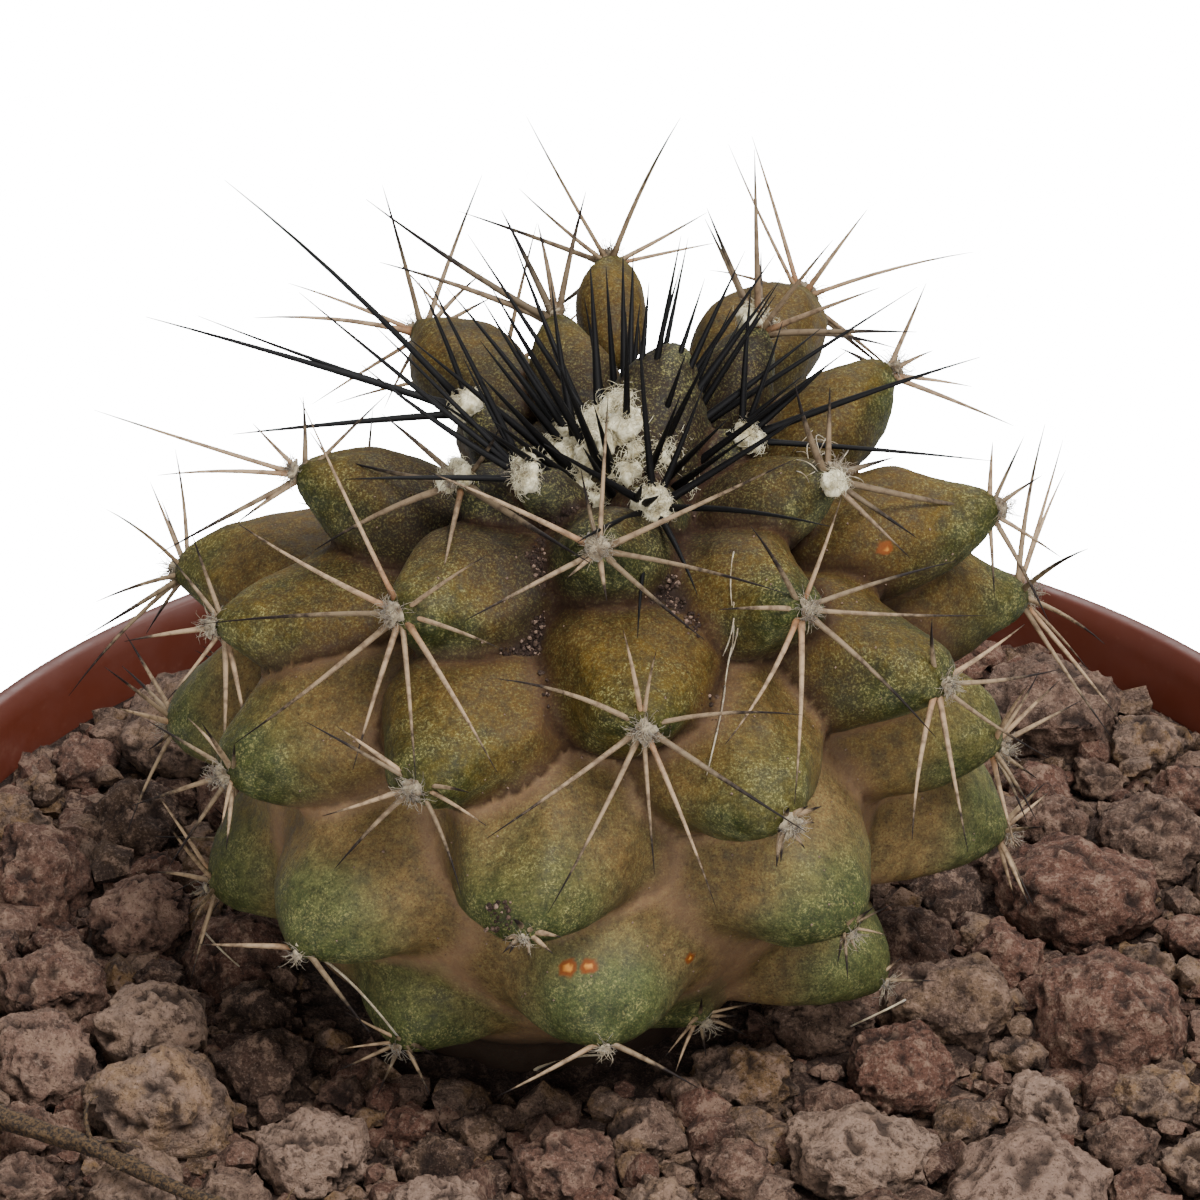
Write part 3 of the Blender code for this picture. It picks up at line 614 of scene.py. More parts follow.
@dataclass(frozen=True)
class SpineFinish:
    """Horny spines: cream and tan with dark points when old, black when young."""

    cream: Colour = rgb(168, 142, 112)
    grey: Colour = rgb(116, 100, 78)
    bark: Colour = rgb(84, 66, 52)
    point: Colour = rgb(26, 18, 16)
    young: Colour = rgb(5, 4, 5)
    ginger: Colour = rgb(140, 84, 40)

    def material(self) -> Material:
        """Builds the finish.

        Returns:
            The material, which reads the attribute strand: way along, tone and age.
        """
        paint = Paint("spines")
        along, tone, age = paint.channels("strand")
        streak = paint.grain(0.35 * MM, 3.0, 0.6)
        colour = paint.mix(tone, self.cream, self.grey)
        ginger = paint.times(paint.level(along, 0.35, 0.0), paint.level(tone, 0.35, 0.1))
        colour = paint.mix(paint.times(ginger, 0.8), colour, self.ginger)
        colour = paint.coat(colour, self.bark, streak, 0.42, 0.70, 0.7)
        reach = paint.plus(paint.plus(along, streak, 0.5), tone, 0.4)
        colour = paint.coat(colour, self.point, reach, 0.95, 1.3)
        colour = paint.coat(colour, self.young, age, 0.75, 0.25)
        return paint.finish(colour, 0.62, paint.bump(streak, 0.3, 0.04 * MM), Specular_IOR_Level=0.2)


class Wool(Enum):
    """Kinds of wool and fibre, with their light and shaded colours."""

    GREY_FELT = (rgb(160, 146, 120), rgb(88, 72, 54))
    CREAM_WOOL = (rgb(236, 228, 196), rgb(166, 153, 114))
    PALE_FIBRE = (rgb(190, 176, 146), rgb(128, 110, 84))


@dataclass(frozen=True)
class WoolFinish:
    """Dull plant wool, from cream in the crown to grey on old areoles."""

    kind: Wool

    def material(self) -> Material:
        """Builds the finish.

        Returns:
            The material, with a soft sheen.
        """
        light, shade = self.kind.value
        paint = Paint(self.kind.name.lower().replace("_", " "))
        lumps = paint.grain(0.5 * MM, 4.0, 0.65)
        colour = paint.coat(shade, light, lumps, 0.35, 0.65)
        normal = paint.bump(paint.grain(0.08 * MM, 2.0), 0.5, 0.03 * MM)
        return paint.finish(colour, 0.95, normal, Sheen_Weight=0.25)


@dataclass(frozen=True)
class StoneFinish:
    """Porous lava: red-brown, grey-brown and tan stones with dark pores and dust."""

    red: Colour = rgb(92, 62, 50)
    grey: Colour = rgb(96, 78, 66)
    dark: Colour = rgb(42, 27, 20)
    tan: Colour = rgb(134, 108, 91)
    pore: Colour = rgb(24, 13, 9)
    dust: Colour = rgb(159, 134, 118)
    ochre: Colour = rgb(128, 96, 56)

    def material(self) -> Material:
        """Builds the finish.

        Returns:
            The material, which reads the attribute stone: hue, brightness and pores, which on the bed are
            painted shade.
        """
        paint = Paint("lava grit")
        hue, bright, pore = paint.channels("stone")
        patch = paint.grain(1.6 * MM, 5.0, 0.65)
        fine = paint.grain(0.34 * MM, 5.0, 0.8)
        crust = paint.grain(0.85 * MM, 4.0, 0.7)
        specks = paint.grain(0.13 * MM, 3.0, 0.75)
        crumbs = paint.cells(0.22 * MM)
        colour = paint.coat(self.red, self.grey, paint.plus(hue, patch), 0.55, 1.35)
        yellow = paint.times(paint.level(hue, 0.5, 0.9), paint.level(patch, 0.44, 0.60, 0.0, 0.6))
        colour = paint.mix(yellow, colour, self.ochre)
        layers = (
            (self.dark, bright, 0.45, 0.0, 0.75),
            (self.tan, bright, 0.7, 1.0, 0.7),
            (self.dust, bright, 0.6, 1.0, 0.5),
            (self.dark, crust, 0.47, 0.36, 0.7),
            (self.tan, crust, 0.51, 0.62, 0.75),
            (self.dust, fine, 0.54, 0.72, 0.6),
            (self.pore, fine, 0.46, 0.30, 0.8),
            (self.dust, specks, 0.54, 0.68, 0.35),
            (self.pore, specks, 0.45, 0.33, 0.7),
        )
        for layer in layers:
            colour = paint.coat(colour, *layer)
        # Colour of the pores, which on the bed is painted shade in the gaps between the stones
        colour = paint.mix(paint.times(pore, 0.9), colour, self.pore)
        normal = paint.bump(specks, 0.5, 0.05 * MM)
        normal = paint.bump(crumbs, 0.35, 0.10 * MM, normal)
        normal = paint.bump(fine, 0.8, 0.24 * MM, normal)
        normal = paint.bump(crust, 0.6, 0.40 * MM, normal)
        return paint.finish(colour, 0.95, normal, Specular_IOR_Level=0.3)


@dataclass(frozen=True)
class PlasticFinish:
    """Moulded terracotta-brown plastic with a faint cloudiness, splash marks and a satin gloss."""

    clay: Colour = rgb(86, 37, 22)
    umber: Colour = rgb(74, 31, 19)
    dust: Colour = rgb(112, 76, 60)

    def material(self) -> Material:
        """Builds the finish.

        Returns:
            The material.
        """
        paint = Paint("terracotta plastic")
        cloud = paint.grain(22 * MM, 3.0, 0.5)
        splash = paint.grain(2.6 * MM, 5.0, 0.7)
        fine = paint.grain(0.3 * MM, 2.0)
        colour = paint.coat(self.umber, self.clay, cloud, 0.3, 0.7)
        colour = paint.coat(colour, self.dust, splash, 0.60, 0.80, 0.3)
        colour = paint.coat(colour, self.dust, fine, 0.62, 0.78, 0.12)
        rough = paint.level(splash, 0.3, 0.75, 0.36, 0.6)
        return paint.finish(colour, rough, paint.bump(fine, 0.12, 0.02 * MM))


@dataclass(frozen=True)
class TwigFinish:
    """Dry fibrous bark."""

    bark: Colour = rgb(92, 70, 44)
    split: Colour = rgb(30, 20, 12)

    def material(self) -> Material:
        """Builds the finish.

        Returns:
            The material.
        """
        paint = Paint("dry twig")
        fibre = paint.grain(0.16 * MM, 4.0, 0.75)
        lumps = paint.cells(0.2 * MM)
        colour = paint.coat(self.split, self.bark, fibre, 0.4, 0.6)
        colour = paint.coat(colour, self.split, lumps, 0.55, 0.9, 0.7)
        return paint.finish(colour, 0.9, paint.bump(fibre, 0.9, 0.12 * MM))


@dataclass(frozen=True)
class PhotoView:
    """Where the photograph was taken from, and what lies behind its pixels."""

    rim_z: float
    rise: float = 31.0
    distance: float = 0.2275
    pixels_per_radian: float = 5625.0
    rim_pixel: Pixel = (633.5, 919.0)

    def axes(self) -> tuple[Vector, Vector, Vector]:
        """Directions ahead, right and up of the camera."""
        rise = radians(self.rise)
        ahead = Vector((0.0, cos(rise), -sin(rise)))
        return ahead, Vector((1.0, 0.0, 0.0)), Vector((0.0, sin(rise), cos(rise)))

    def place(self) -> Vector:
        """The camera's place, which puts the rim's middle on its pixel."""
        ahead, right, up = self.axes()
        across, above = (offset / self.pixels_per_radian for offset in self.off_middle(self.rim_pixel))
        aside = right * (across * self.distance) + up * (above * self.distance)
        return Vector((0.0, 0.0, self.rim_z)) - ahead * self.distance - aside

    def across(self, clock: float) -> Vector:
        """Direction across the view: 0 is to the right and 90 up."""
        _, right, up = self.axes()
        angle = radians(clock)
        return right * cos(angle) + up * sin(angle)

    def off_middle(self, pixel: Pixel) -> tuple[float, float]:
        """How far a pixel lies to the right of the photograph's middle and above it."""
        half = PHOTO_SIDE / 2.0
        return pixel[0] - half, half - pixel[1]

    def heading(self, pixel: Pixel) -> Vector:
        """Direction in which a pixel looks."""
        ahead, right, up = self.axes()
        across, above = self.off_middle(pixel)
        return (ahead * self.pixels_per_radian + right * across + up * above).normalized()

    def cast(self, tree: BVHTree, pixel: Pixel) -> tuple[Vector, Vector, int, float]:
        """What a pixel shows of a surface: place, normal, face and distance, each None if nothing."""
        return tree.ray_cast(self.place(), self.heading(pixel))

    def hit(self, tree: BVHTree, pixel: Pixel, gap: float = 0.0) -> Vector:
        """The point behind a pixel, a gap off the surface, or a far one if nothing is there."""
        found, normal, _, _ = self.cast(tree, pixel)
        return found + normal * gap if found is not None else FAR_AWAY

    def depth_of(self, point: Vector) -> float:
        """Distance of a point from the camera, straight ahead."""
        return (point - self.place()).dot(self.axes()[0])

    def at_depth(self, pixel: Pixel, depth: float) -> Vector:
        """The point behind a pixel at a distance straight ahead."""
        heading = self.heading(pixel)
        return self.place() + heading * (depth / heading.dot(self.axes()[0]))


class Mark(Enum):
    """Blemishes of the skin."""

    SCAR = "orange scar"
    DIRT = "dirt in a crease"


@dataclass(frozen=True)
class SkinMark:
    """One blemish: where it is seen in the photograph, its size and kind."""

    pixel: Pixel
    size: float
    kind: Mark


SKIN_MARKS = (
    SkinMark((568, 968), 0.44 * MM, Mark.SCAR),
    SkinMark((589, 966), 0.38 * MM, Mark.SCAR),
    SkinMark((690, 958), 0.32 * MM, Mark.SCAR),
    SkinMark((885, 548), 0.36 * MM, Mark.SCAR),
    SkinMark((522, 560), 1.1 * MM, Mark.DIRT),
    SkinMark((520, 600), 1.2 * MM, Mark.DIRT),
    SkinMark((526, 636), 0.9 * MM, Mark.DIRT),
    SkinMark((668, 600), 1.0 * MM, Mark.DIRT),
    SkinMark((500, 912), 0.6 * MM, Mark.DIRT),
    SkinMark((556, 500), 1.2 * MM, Mark.DIRT),
    SkinMark((420, 540), 0.9 * MM, Mark.DIRT),
)


@dataclass(frozen=True)
class Tubercle:
    """Place, axis and size of one tubercle."""

    index: int
    tip: Vector
    axis: Vector
    side: Vector
    up: Vector
    half_width: float
    depth: float
    bluntness: float
    upper_flatness: float
    under_flatness: float
    squareness: float
    under_squareness: float
    lowness: float

    def level(self, across: np.ndarray, above: np.ndarray, behind: np.ndarray) -> np.ndarray:
        """How far outside the tubercle's surface points lie: 1 on it, less inside it.

        Args:
            across: Distance from the axis, sideways.
            above: Distance from the axis, upwards.
            behind: Distance behind the tip.

        Returns:
            The level of each point.
        """
        flatness = np.where(above > 0.0, self.upper_flatness, self.under_flatness)
        wide, tall = np.abs(across) / self.half_width, np.abs(above) / (self.half_width * flatness)
        square = np.where(above > 0.0, self.squareness, self.under_squareness)
        lateral = (wide ** square + tall ** square) ** (1.0 / square)
        power = self.bluntness
        return (lateral ** power + np.abs(1.0 - behind / self.depth) ** power) ** (1.0 / power)


@dataclass(frozen=True)
class Growth:
    """Rule of the plant's spiral, as its solid in the frame follows it.

    Ages count the steps of the spiral. A field of the type ByAge holds the value of young tubercles,
    of grown ones and of the lowest ones.
    """

    rim_z: float
    golden_angle: float = 137.508
    first_azimuth: float = 102.3
    apex: int = -9
    first: int = -3
    last: int = 44
    stem_x: float = -0.0023
    stem_y: float = 0.0007
    lean: float = 0.16
    lean_rise: float = 0.0082
    girth: float = 0.0168
    girth_age: float = 19.0
    girth_power: float = 1.95
    foot_age: float = 36.0
    foot_taper: float = 0.000014
    crown_rise: float = 0.0220
    crown_age: float = 8.0
    ring_rise: float = 0.0009
    ring_age: float = 13.0
    ring_span: float = 6.0
    stem_drop: float = 0.0248
    drop_span: float = 46.0
    drop_power: float = 1.58
    young_until: float = 13.0
    growing_span: float = 11.0
    grown_until: float = 28.0
    ageing_span: float = 14.0
    far_side_index: int = 12
    far_side_span: float = 9.0
    far_side_reach: float = 0.0045
    far_side_lift: float = 0.0015
    far_side_slimness: float = 0.26
    far_side_taper: float = 0.16
    row_share: float = 0.866
    bed_room: float = 1.1
    packing: ByAge = (0.335, 0.465, 0.52)
    bluntness: ByAge = (1.7, 2.25, 1.6)
    upper_flatness: ByAge = (0.95, 0.95, 1.0)
    under_flatness: ByAge = (0.90, 0.62, 0.50)
    squareness: ByAge = (2.1, 2.8, 2.6)
    under_squareness: ByAge = (2.0, 1.9, 1.5)
    depth: float = 0.0070
    stretch: float = 1.95
    nose_rise: float = 4.0
    young_rise: float = 44.0
    young_rise_age: float = 6.0
    young_rise_span: float = 16.0
    crown_nose_rise: float = 35.0
    crown_nose_span: float = 5.0
    droop: float = 13.0
    lowest_rise: float = 0.0012
    bed_drop: float = 0.0029

    @property
    def bed_z(self) -> float:
        """Height of the bed under the stones."""
        return self.rim_z - self.bed_drop

    def stem_at(self, rise: float) -> Vector:
        """Middle of the leaning stem at a height above the rim."""
        slant = self.lean * (rise - self.lean_rise)
        return Vector((self.stem_x + slant, self.stem_y, self.rim_z + rise))

    def age(self, index: float) -> float:
        """Steps of the spiral since an index left the apex."""
        return index - self.apex + 0.5

    def place(self, index: float) -> tuple[float, float]:
        """Radius and height of the even spiral at an index."""
        age = self.age(index)
        radius = self.girth * (1.0 - exp(-((age / self.girth_age) ** self.girth_power)))
        radius -= self.foot_taper * max(0.0, age - self.foot_age) ** 2
        ring = self.ring_rise * bell(age, self.ring_age, self.ring_span)
        drop = (max(0.0, age - self.crown_age) / self.drop_span) ** self.drop_power
        rise = self.crown_rise + ring - self.stem_drop * drop
        return radius, self.rim_z + rise

    def lowness(self, index: float) -> float:
        """How far an index has come from the grown shape to the lowest one, 0 to 1."""
        return clamp((self.age(index) - self.grown_until) / self.ageing_span)

    def by_age(self, index: float, values: ByAge) -> float:
        """A value that goes from that of young tubercles to that of grown ones and then of the lowest.

        Args:
            index: Number along the spiral.
            values: Young, grown and lowest value.

        Returns:
            The value at that index.
        """
        young, grown, low = values
        value = young + (grown - young) * clamp((self.age(index) - self.young_until) / self.growing_span)
        return value + (low - value) * self.lowness(index)

    def half_width(self, index: float) -> float:
        """Half-width of a tubercle, from the room that the spiral leaves it."""
        radius, height = self.place(index)
        before, after = self.place(index - 0.5), self.place(index + 0.5)
        step = hypot(after[0] - before[0], after[1] - before[1])
        room = 2.0 * pi * radius * step
        packing = self.by_age(index, self.packing)
        above_bed = max(height, self.rim_z + self.lowest_rise) - self.bed_z
        return min(packing * sqrt(room / self.row_share), self.bed_room * above_bed)

    def nose_angle(self, index: int) -> float:
        """How steeply a tubercle's axis rises, in degrees."""
        age = self.age(index)
        rise = self.nose_rise + self.young_rise * bell(age, self.young_rise_age, self.young_rise_span)
        rise += self.crown_nose_rise * bell(age, 0.0, self.crown_nose_span)
        return rise - self.droop * self.lowness(index)

    def tubercle(self, index: int) -> Tubercle:
        """Works out one tubercle.

        Args:
            index: Its number along the spiral, from the crown down.

        Returns:
            The tubercle.
        """
        turn, lift, reach = OUT_OF_LINE.get(index, (0, 0.0, 0.0))
        nod, girth, raised, swing = BUILDS.get(index, (0.0, 1.0, 0.0, 0.0))
        azimuth = radians(self.first_azimuth + self.golden_angle * index + (turn + swing))
        radius, height = self.place(index)
        far_side = (1.0 - cos(azimuth)) / 2.0 * bell(index, self.far_side_index, self.far_side_span)
        radius += reach + self.far_side_reach * far_side
        lifted = height + (lift + raised) + self.far_side_lift * far_side
        height = max(lifted, self.rim_z + self.lowest_rise)
        out = outward(azimuth)
        slant = self.lean * (height - self.rim_z - self.lean_rise)
        tip = out * radius + Vector((self.stem_x + slant, self.stem_y, height))
        rise = radians(self.nose_angle(index) + nod)
        axis = out * cos(rise) + Vector((0.0, 0.0, sin(rise)))
        side = Vector((-out.y, out.x, 0.0))
        up = axis.cross(side)
        if up.z < 0.0:
            up.negate()
        width = self.half_width(index) * (1.0 - (self.far_side_slimness + self.far_side_taper) * far_side)
        width *= girth
        return Tubercle(
            index=index,
            tip=tip,
            axis=axis,
            side=side,
            up=up,
            half_width=width,
            depth=min(self.depth, self.stretch * width),
            bluntness=self.by_age(index, self.bluntness) - self.far_side_slimness * far_side,
            upper_flatness=self.by_age(index, self.upper_flatness),
            under_flatness=self.by_age(index, self.under_flatness),
            squareness=self.by_age(index, self.squareness),
            under_squareness=self.by_age(index, self.under_squareness),
            lowness=self.lowness(index),
        )

    def tubercles(self, skip: int = 0) -> Iterator[Tubercle]:
        """All tubercles from the crown down, without the first few if asked."""
        for index in range(self.first + skip, self.last + 1):
            yield self.tubercle(index)


@dataclass
class PlantSkin:
    """The green body: core, root and tubercles grown into one skin."""

    growth: Growth
    view: PhotoView
    voxel: float = 0.29 * MM
    core_radius: float = 12.9 * MM
    core_half_height: float = 11.0 * MM
    core_rise: float = 7.6 * MM
    root_x: float = -3.8 * MM
    root_radius: float = 8.7 * MM
    root_tip_radius: float = 3.0 * MM
    root_top: float = 3.0 * MM
    root_depth: float = 21.0 * MM
    facets: int = 7
    smoothing: int = 4
    facet_share: float = 0.85
    lump: float = 0.22 * MM
    lump_size: float = 2.6 * MM
    lump_seed: int = 7
    wrinkle: float = 0.07 * MM
    wrinkle_size: float = 1.5 * MM
    fine_wrinkle_size: float = 0.6 * MM
    carve: float = 0.16 * MM
    carve_width: float = 0.07
    crease_width: float = 0.17
    nose_depth: float = 5.5 * MM
    crown_rise: float = 19.0 * MM
    crown_fade: tuple = (12.0 * MM, 4.5 * MM)
    foot_shade_fade: float = 1.5 * MM

    def build(self) -> Piece:
        """Makes the skin with the attributes that its finish reads.

        Returns:
            The finished skin.
        """
        noise.seed_set(self.lump_seed)
        canvas = Canvas()
        self.add_core(canvas.bm)
        ball = bmesh.new()
        bmesh.ops.create_uvsphere(ball, u_segments=48, v_segments=40, radius=1.0)
        for tubercle in self.growth.tubercles():
            egg = ball.copy()
            self.shape_tubercle(egg, tubercle)
            canvas.add(egg)
        ball.free()
        skin = canvas.lift_off("cactus_skin")
        remesh = skin.modifiers.new("skin", "REMESH")
        remesh.mode = "VOXEL"
        remesh.voxel_size = self.voxel
        baked(skin)
        self.soften(skin)
        self.paint(skin)
        return skin

    def add_core(self, bm: Mesh) -> None:
        """Adds the leaning core and the stub of root."""
        growth = self.growth
        lean = Matrix.Identity(4)
        lean[0][2] = growth.lean
        place = Matrix.Translation(growth.stem_at(self.core_rise))
        size = Matrix.Diagonal((self.core_radius, self.core_radius, self.core_half_height, 1.0))
        bmesh.ops.create_uvsphere(bm, u_segments=64, v_segments=32, radius=1.0, matrix=place @ lean @ size)
        root_z = growth.rim_z + self.root_top - self.root_depth / 2.0
        root = (self.root_x, growth.stem_y, root_z)
        add_cone(bm, 32, self.root_tip_radius, self.root_radius, self.root_depth, root)

    def shape_tubercle(self, egg: Mesh, tubercle: Tubercle) -> None:
        """Turns a ball into a tubercle: a long egg that runs back into the core, flatter underneath."""
        turn = Matrix((tubercle.side, tubercle.up, tubercle.axis)).transposed()
        power = tubercle.bluntness
        seed = Vector((3.1 * tubercle.index, 0.7, 0.0))
        facets = self.facet_planes(tubercle)
        for vert in egg.verts:
            along = min(1.0, abs(vert.co.z))
            ring = (1.0 - along ** power) ** (1.0 / power)
            across = Vector((vert.co.x, vert.co.y, 0.0))
            if across.length > 0.000001:
                across.normalize()
            square = tubercle.squareness if across.y > 0.0 else tubercle.under_squareness
            corner = 1.0
            if across.length > 0.0:
                corner = (abs(across.x) ** square + abs(across.y) ** square) ** (-1.0 / square)
            wide = tubercle.half_width * ring * corner
            back = vert.co.z * tubercle.depth - tubercle.depth
            flatness = tubercle.upper_flatness if across.y > 0.0 else tubercle.under_flatness
            place = Vector((across.x * wide, across.y * wide * flatness, back))
            for way, reach in facets:
                place -= way * self.facet_share * max(0.0, place.dot(way) - reach)
            uneven = noise.noise_vector(place / self.lump_size + seed) * self.lump
            vert.co = tubercle.tip + turn @ (place + uneven * eased(0.0, 1.5 * MM, -back))

    def facet_planes(self, tubercle: Tubercle) -> list[tuple[Vector, float]]:
        """Planes that flatten the flanks of a tubercle: their normals and distances from its tip."""
        draw = Random(60 + tubercle.index)
        size = tubercle.half_width
        found = []
        for number in range(self.facets):
            clock = tau * (number + draw.uniform(-0.3, 0.3)) / self.facets
            tilt = draw.uniform(0.35, 0.75)
            way = Vector((cos(clock), sin(clock), tilt)).normalized()
            tall = tubercle.upper_flatness if way.y > 0.0 else tubercle.under_flatness
            middle = -way.z * tubercle.depth
            support = sqrt((size * way.x) ** 2 + (size * tall * way.y) ** 2 + middle * middle)
            reach = middle + support * draw.uniform(0.86, 0.94)
            found.append((way, max(reach, -0.05 * MM)))
        return found

    def soften(self, skin: Piece) -> None:
        """Smooths the remeshed skin lightly and gives it faint wrinkles."""
        bm = bmesh.new()
        bm.from_mesh(skin.data)
        relax(bm, self.smoothing)
        bm.normal_update()
        shifts = []
        for vert in bm.verts:
            broad = noise.noise(vert.co / self.wrinkle_size)
            fine = noise.noise(vert.co / self.fine_wrinkle_size + Vector((7.0, 0.0, 0.0)))
            shifts.append(vert.normal * self.wrinkle * (broad + 0.45 * fine))
        for vert, shift in zip(bm.verts, shifts):
            vert.co += shift
        bm.to_mesh(skin.data)
        bm.free()

    def paint(self, skin: Piece) -> None:
        """Works out how each vertex lies on its tubercle, carves the creases and stores it all.

        Args:
            skin: The finished mesh, which takes the attributes form, age and marks.
        """
        count = len(skin.data.vertices)
        places, normals = np.empty(count * 3), np.empty(count * 3)
        skin.data.vertices.foreach_get("co", places)
        skin.data.vertices.foreach_get("normal", normals)
        places, normals = places.reshape(-1, 3), normals.reshape(-1, 3)
        best, second = np.full(count, 9.0), np.full(count, 9.0)
        depth, upper = np.ones(count), np.zeros(count)
        youth_and_crown_shade, low, tone, bloom = np.zeros(count), np.ones(count), np.zeros(count), np.zeros(count)
        for tubercle in self.growth.tubercles():
            draw = Random(tubercle.index)
            rel = places - np.array(tubercle.tip)
            across = rel @ np.array(tubercle.side)
            above = rel @ np.array(tubercle.up)
            behind = -(rel @ np.array(tubercle.axis))
            level = tubercle.level(across, above, behind)
            nearer = level < best
            second = np.where(nearer, best, np.minimum(second, level))
            best = np.where(nearer, level, best)
            depth = np.where(nearer, np.clip(behind / self.nose_depth, 0.0, 1.0), depth)
            upper = np.where(nearer, 0.5 + 0.5 * np.clip(above / tubercle.half_width, -1.0, 1.0), upper)
            youth_and_crown_shade = np.where(nearer, eased(9.0, 1.0, tubercle.index), youth_and_crown_shade)
            low = np.where(nearer, tubercle.lowness, low)
            tone = np.where(nearer, draw.random(), tone)
            bloom = np.where(nearer, draw.uniform(0.3, 1.0), bloom)
        # Near the crown the plum also serves as painted shade in the crown's hollow
        crown = np.array((self.growth.stem_x, self.growth.stem_y, self.growth.rim_z + self.crown_rise))
        crown_plum_and_shade = 0.85 * smooth_step(*self.crown_fade, np.linalg.norm(places - crown, axis=1))
        youth_and_crown_shade = np.maximum(youth_and_crown_shade, crown_plum_and_shade)
        carve = self.carve * np.exp(-(((second - best) / self.carve_width) ** 2)) * (1.0 - 0.6 * low)
        # Closeness to a crease, or to the core between the tubercles, where the finish paints shade
        crease = np.exp(-(((second - best) / self.crease_width) ** 2)) * (1.0 - 0.45 * low)
        crease = np.maximum(crease, smooth_step(1.02, 1.25, best) * (1.0 - 0.5 * low))
        scar, dirt = self.blemishes(surface_tree(skin), places, crease)
        skin.data.vertices.foreach_set("co", (places - normals * carve[:, None]).ravel())
        skin.data.update()
        write_attribute(skin, "form", crease, depth, upper)
        write_attribute(skin, "age", youth_and_crown_shade, low, tone)
        write_attribute(skin, "marks", scar, bloom, dirt)

    def blemishes(
        self, surface: BVHTree, places: np.ndarray, crease: np.ndarray
    ) -> tuple[np.ndarray, np.ndarray]:
        """Works out the scars, the dirt and the painted shade at the foot.

        Args:
            surface: The skin's surface.
            places: Its vertices.
            crease: How deep in a crease each vertex lies, 0 to 1.

        Returns:
            How much scar, and how much dirt and painted shade, each vertex has.
        """
        scar, dirt = np.zeros(len(places)), np.zeros(len(places))
        for mark in SKIN_MARKS:
            hit = self.view.hit(surface, mark.pixel)
            far = np.linalg.norm(places - np.array(hit), axis=1)
            if mark.kind is Mark.SCAR:
                scar = np.maximum(scar, smooth_step(mark.size * 1.1, mark.size * 0.2, far))
            else:
                spot = smooth_step(mark.size, mark.size * 0.6, far)
                dirt = np.maximum(dirt, 0.9 * spot * (0.3 + 0.7 * crease))
        # Painted shade: near-black over the foot of the skin below the rim, among the stones
        rim_z = self.growth.rim_z
        under = smooth_step(rim_z + self.foot_shade_fade, rim_z - self.foot_shade_fade, places[:, 2])
        return scar, np.maximum(dirt, 0.9 * under)


class StrandBrush(Canvas):
    """Lays tapered, bent strands into one piece, each a copy of one slim cylinder."""

    def __init__(self, sides: int, rings: int, point: float = 0.1, taper: float = 2.0) -> None:
        """Makes the cylinder that is copied.

        Args:
            sides: Sides of its cross-section.
            rings: Stretches along it.
            point: Radius of its end, as a share of its root's.
            taper: 1 for an even taper, more for a strand that keeps its width for longer.
        """
        super().__init__("strand")
        self.point = point
        self.taper = taper
        self.template = slim_cylinder(sides, rings)
        self.template.verts.layers.float_color.new("strand")

    def lay(self, points: list[Vector], radius: float, tone: float, age: float, swell: float = 0.0) -> None:
        """Adds one strand along a smooth path.

        Args:
            points: Root, middle and end of the path.
            radius: Radius at the root.
            tone: Shade, 0 to 1, stored for the finish.
            age: 0 for young, 1 for old, stored for the finish.
            swell: How much the very root is thickened.
        """
        root, middle, end = points
        bend = middle * 2.0 - (root + end) * 0.5
        strand = self.template.copy()
        layer = strand.verts.layers.float_color["strand"]
        for vert in strand.verts:
            share = vert.co.z
            rest = 1.0 - share
            spot = root * rest * rest + bend * 2.0 * rest * share + end * share * share
            ahead = ((bend - root) * rest + (end - bend) * share).normalized()
            across = ahead.cross(Vector((0.31, 0.17, 0.94))).normalized()
            over = ahead.cross(across)
            wide = radius * (self.point + (1.0 - self.point) * (1.0 - share ** self.taper))
            wide += radius * swell * max(0.0, 1.0 - 8.0 * share)
            vert.co = spot + (across * vert.co.x + over * vert.co.y) * wide
            vert[layer] = (share, tone, age, 1.0)
        self.add(strand)


@dataclass(frozen=True)
class Spine:
    """One spine, from where it is rooted to its point."""

    root: Vector
    end: Vector
    radius: float
    age: float


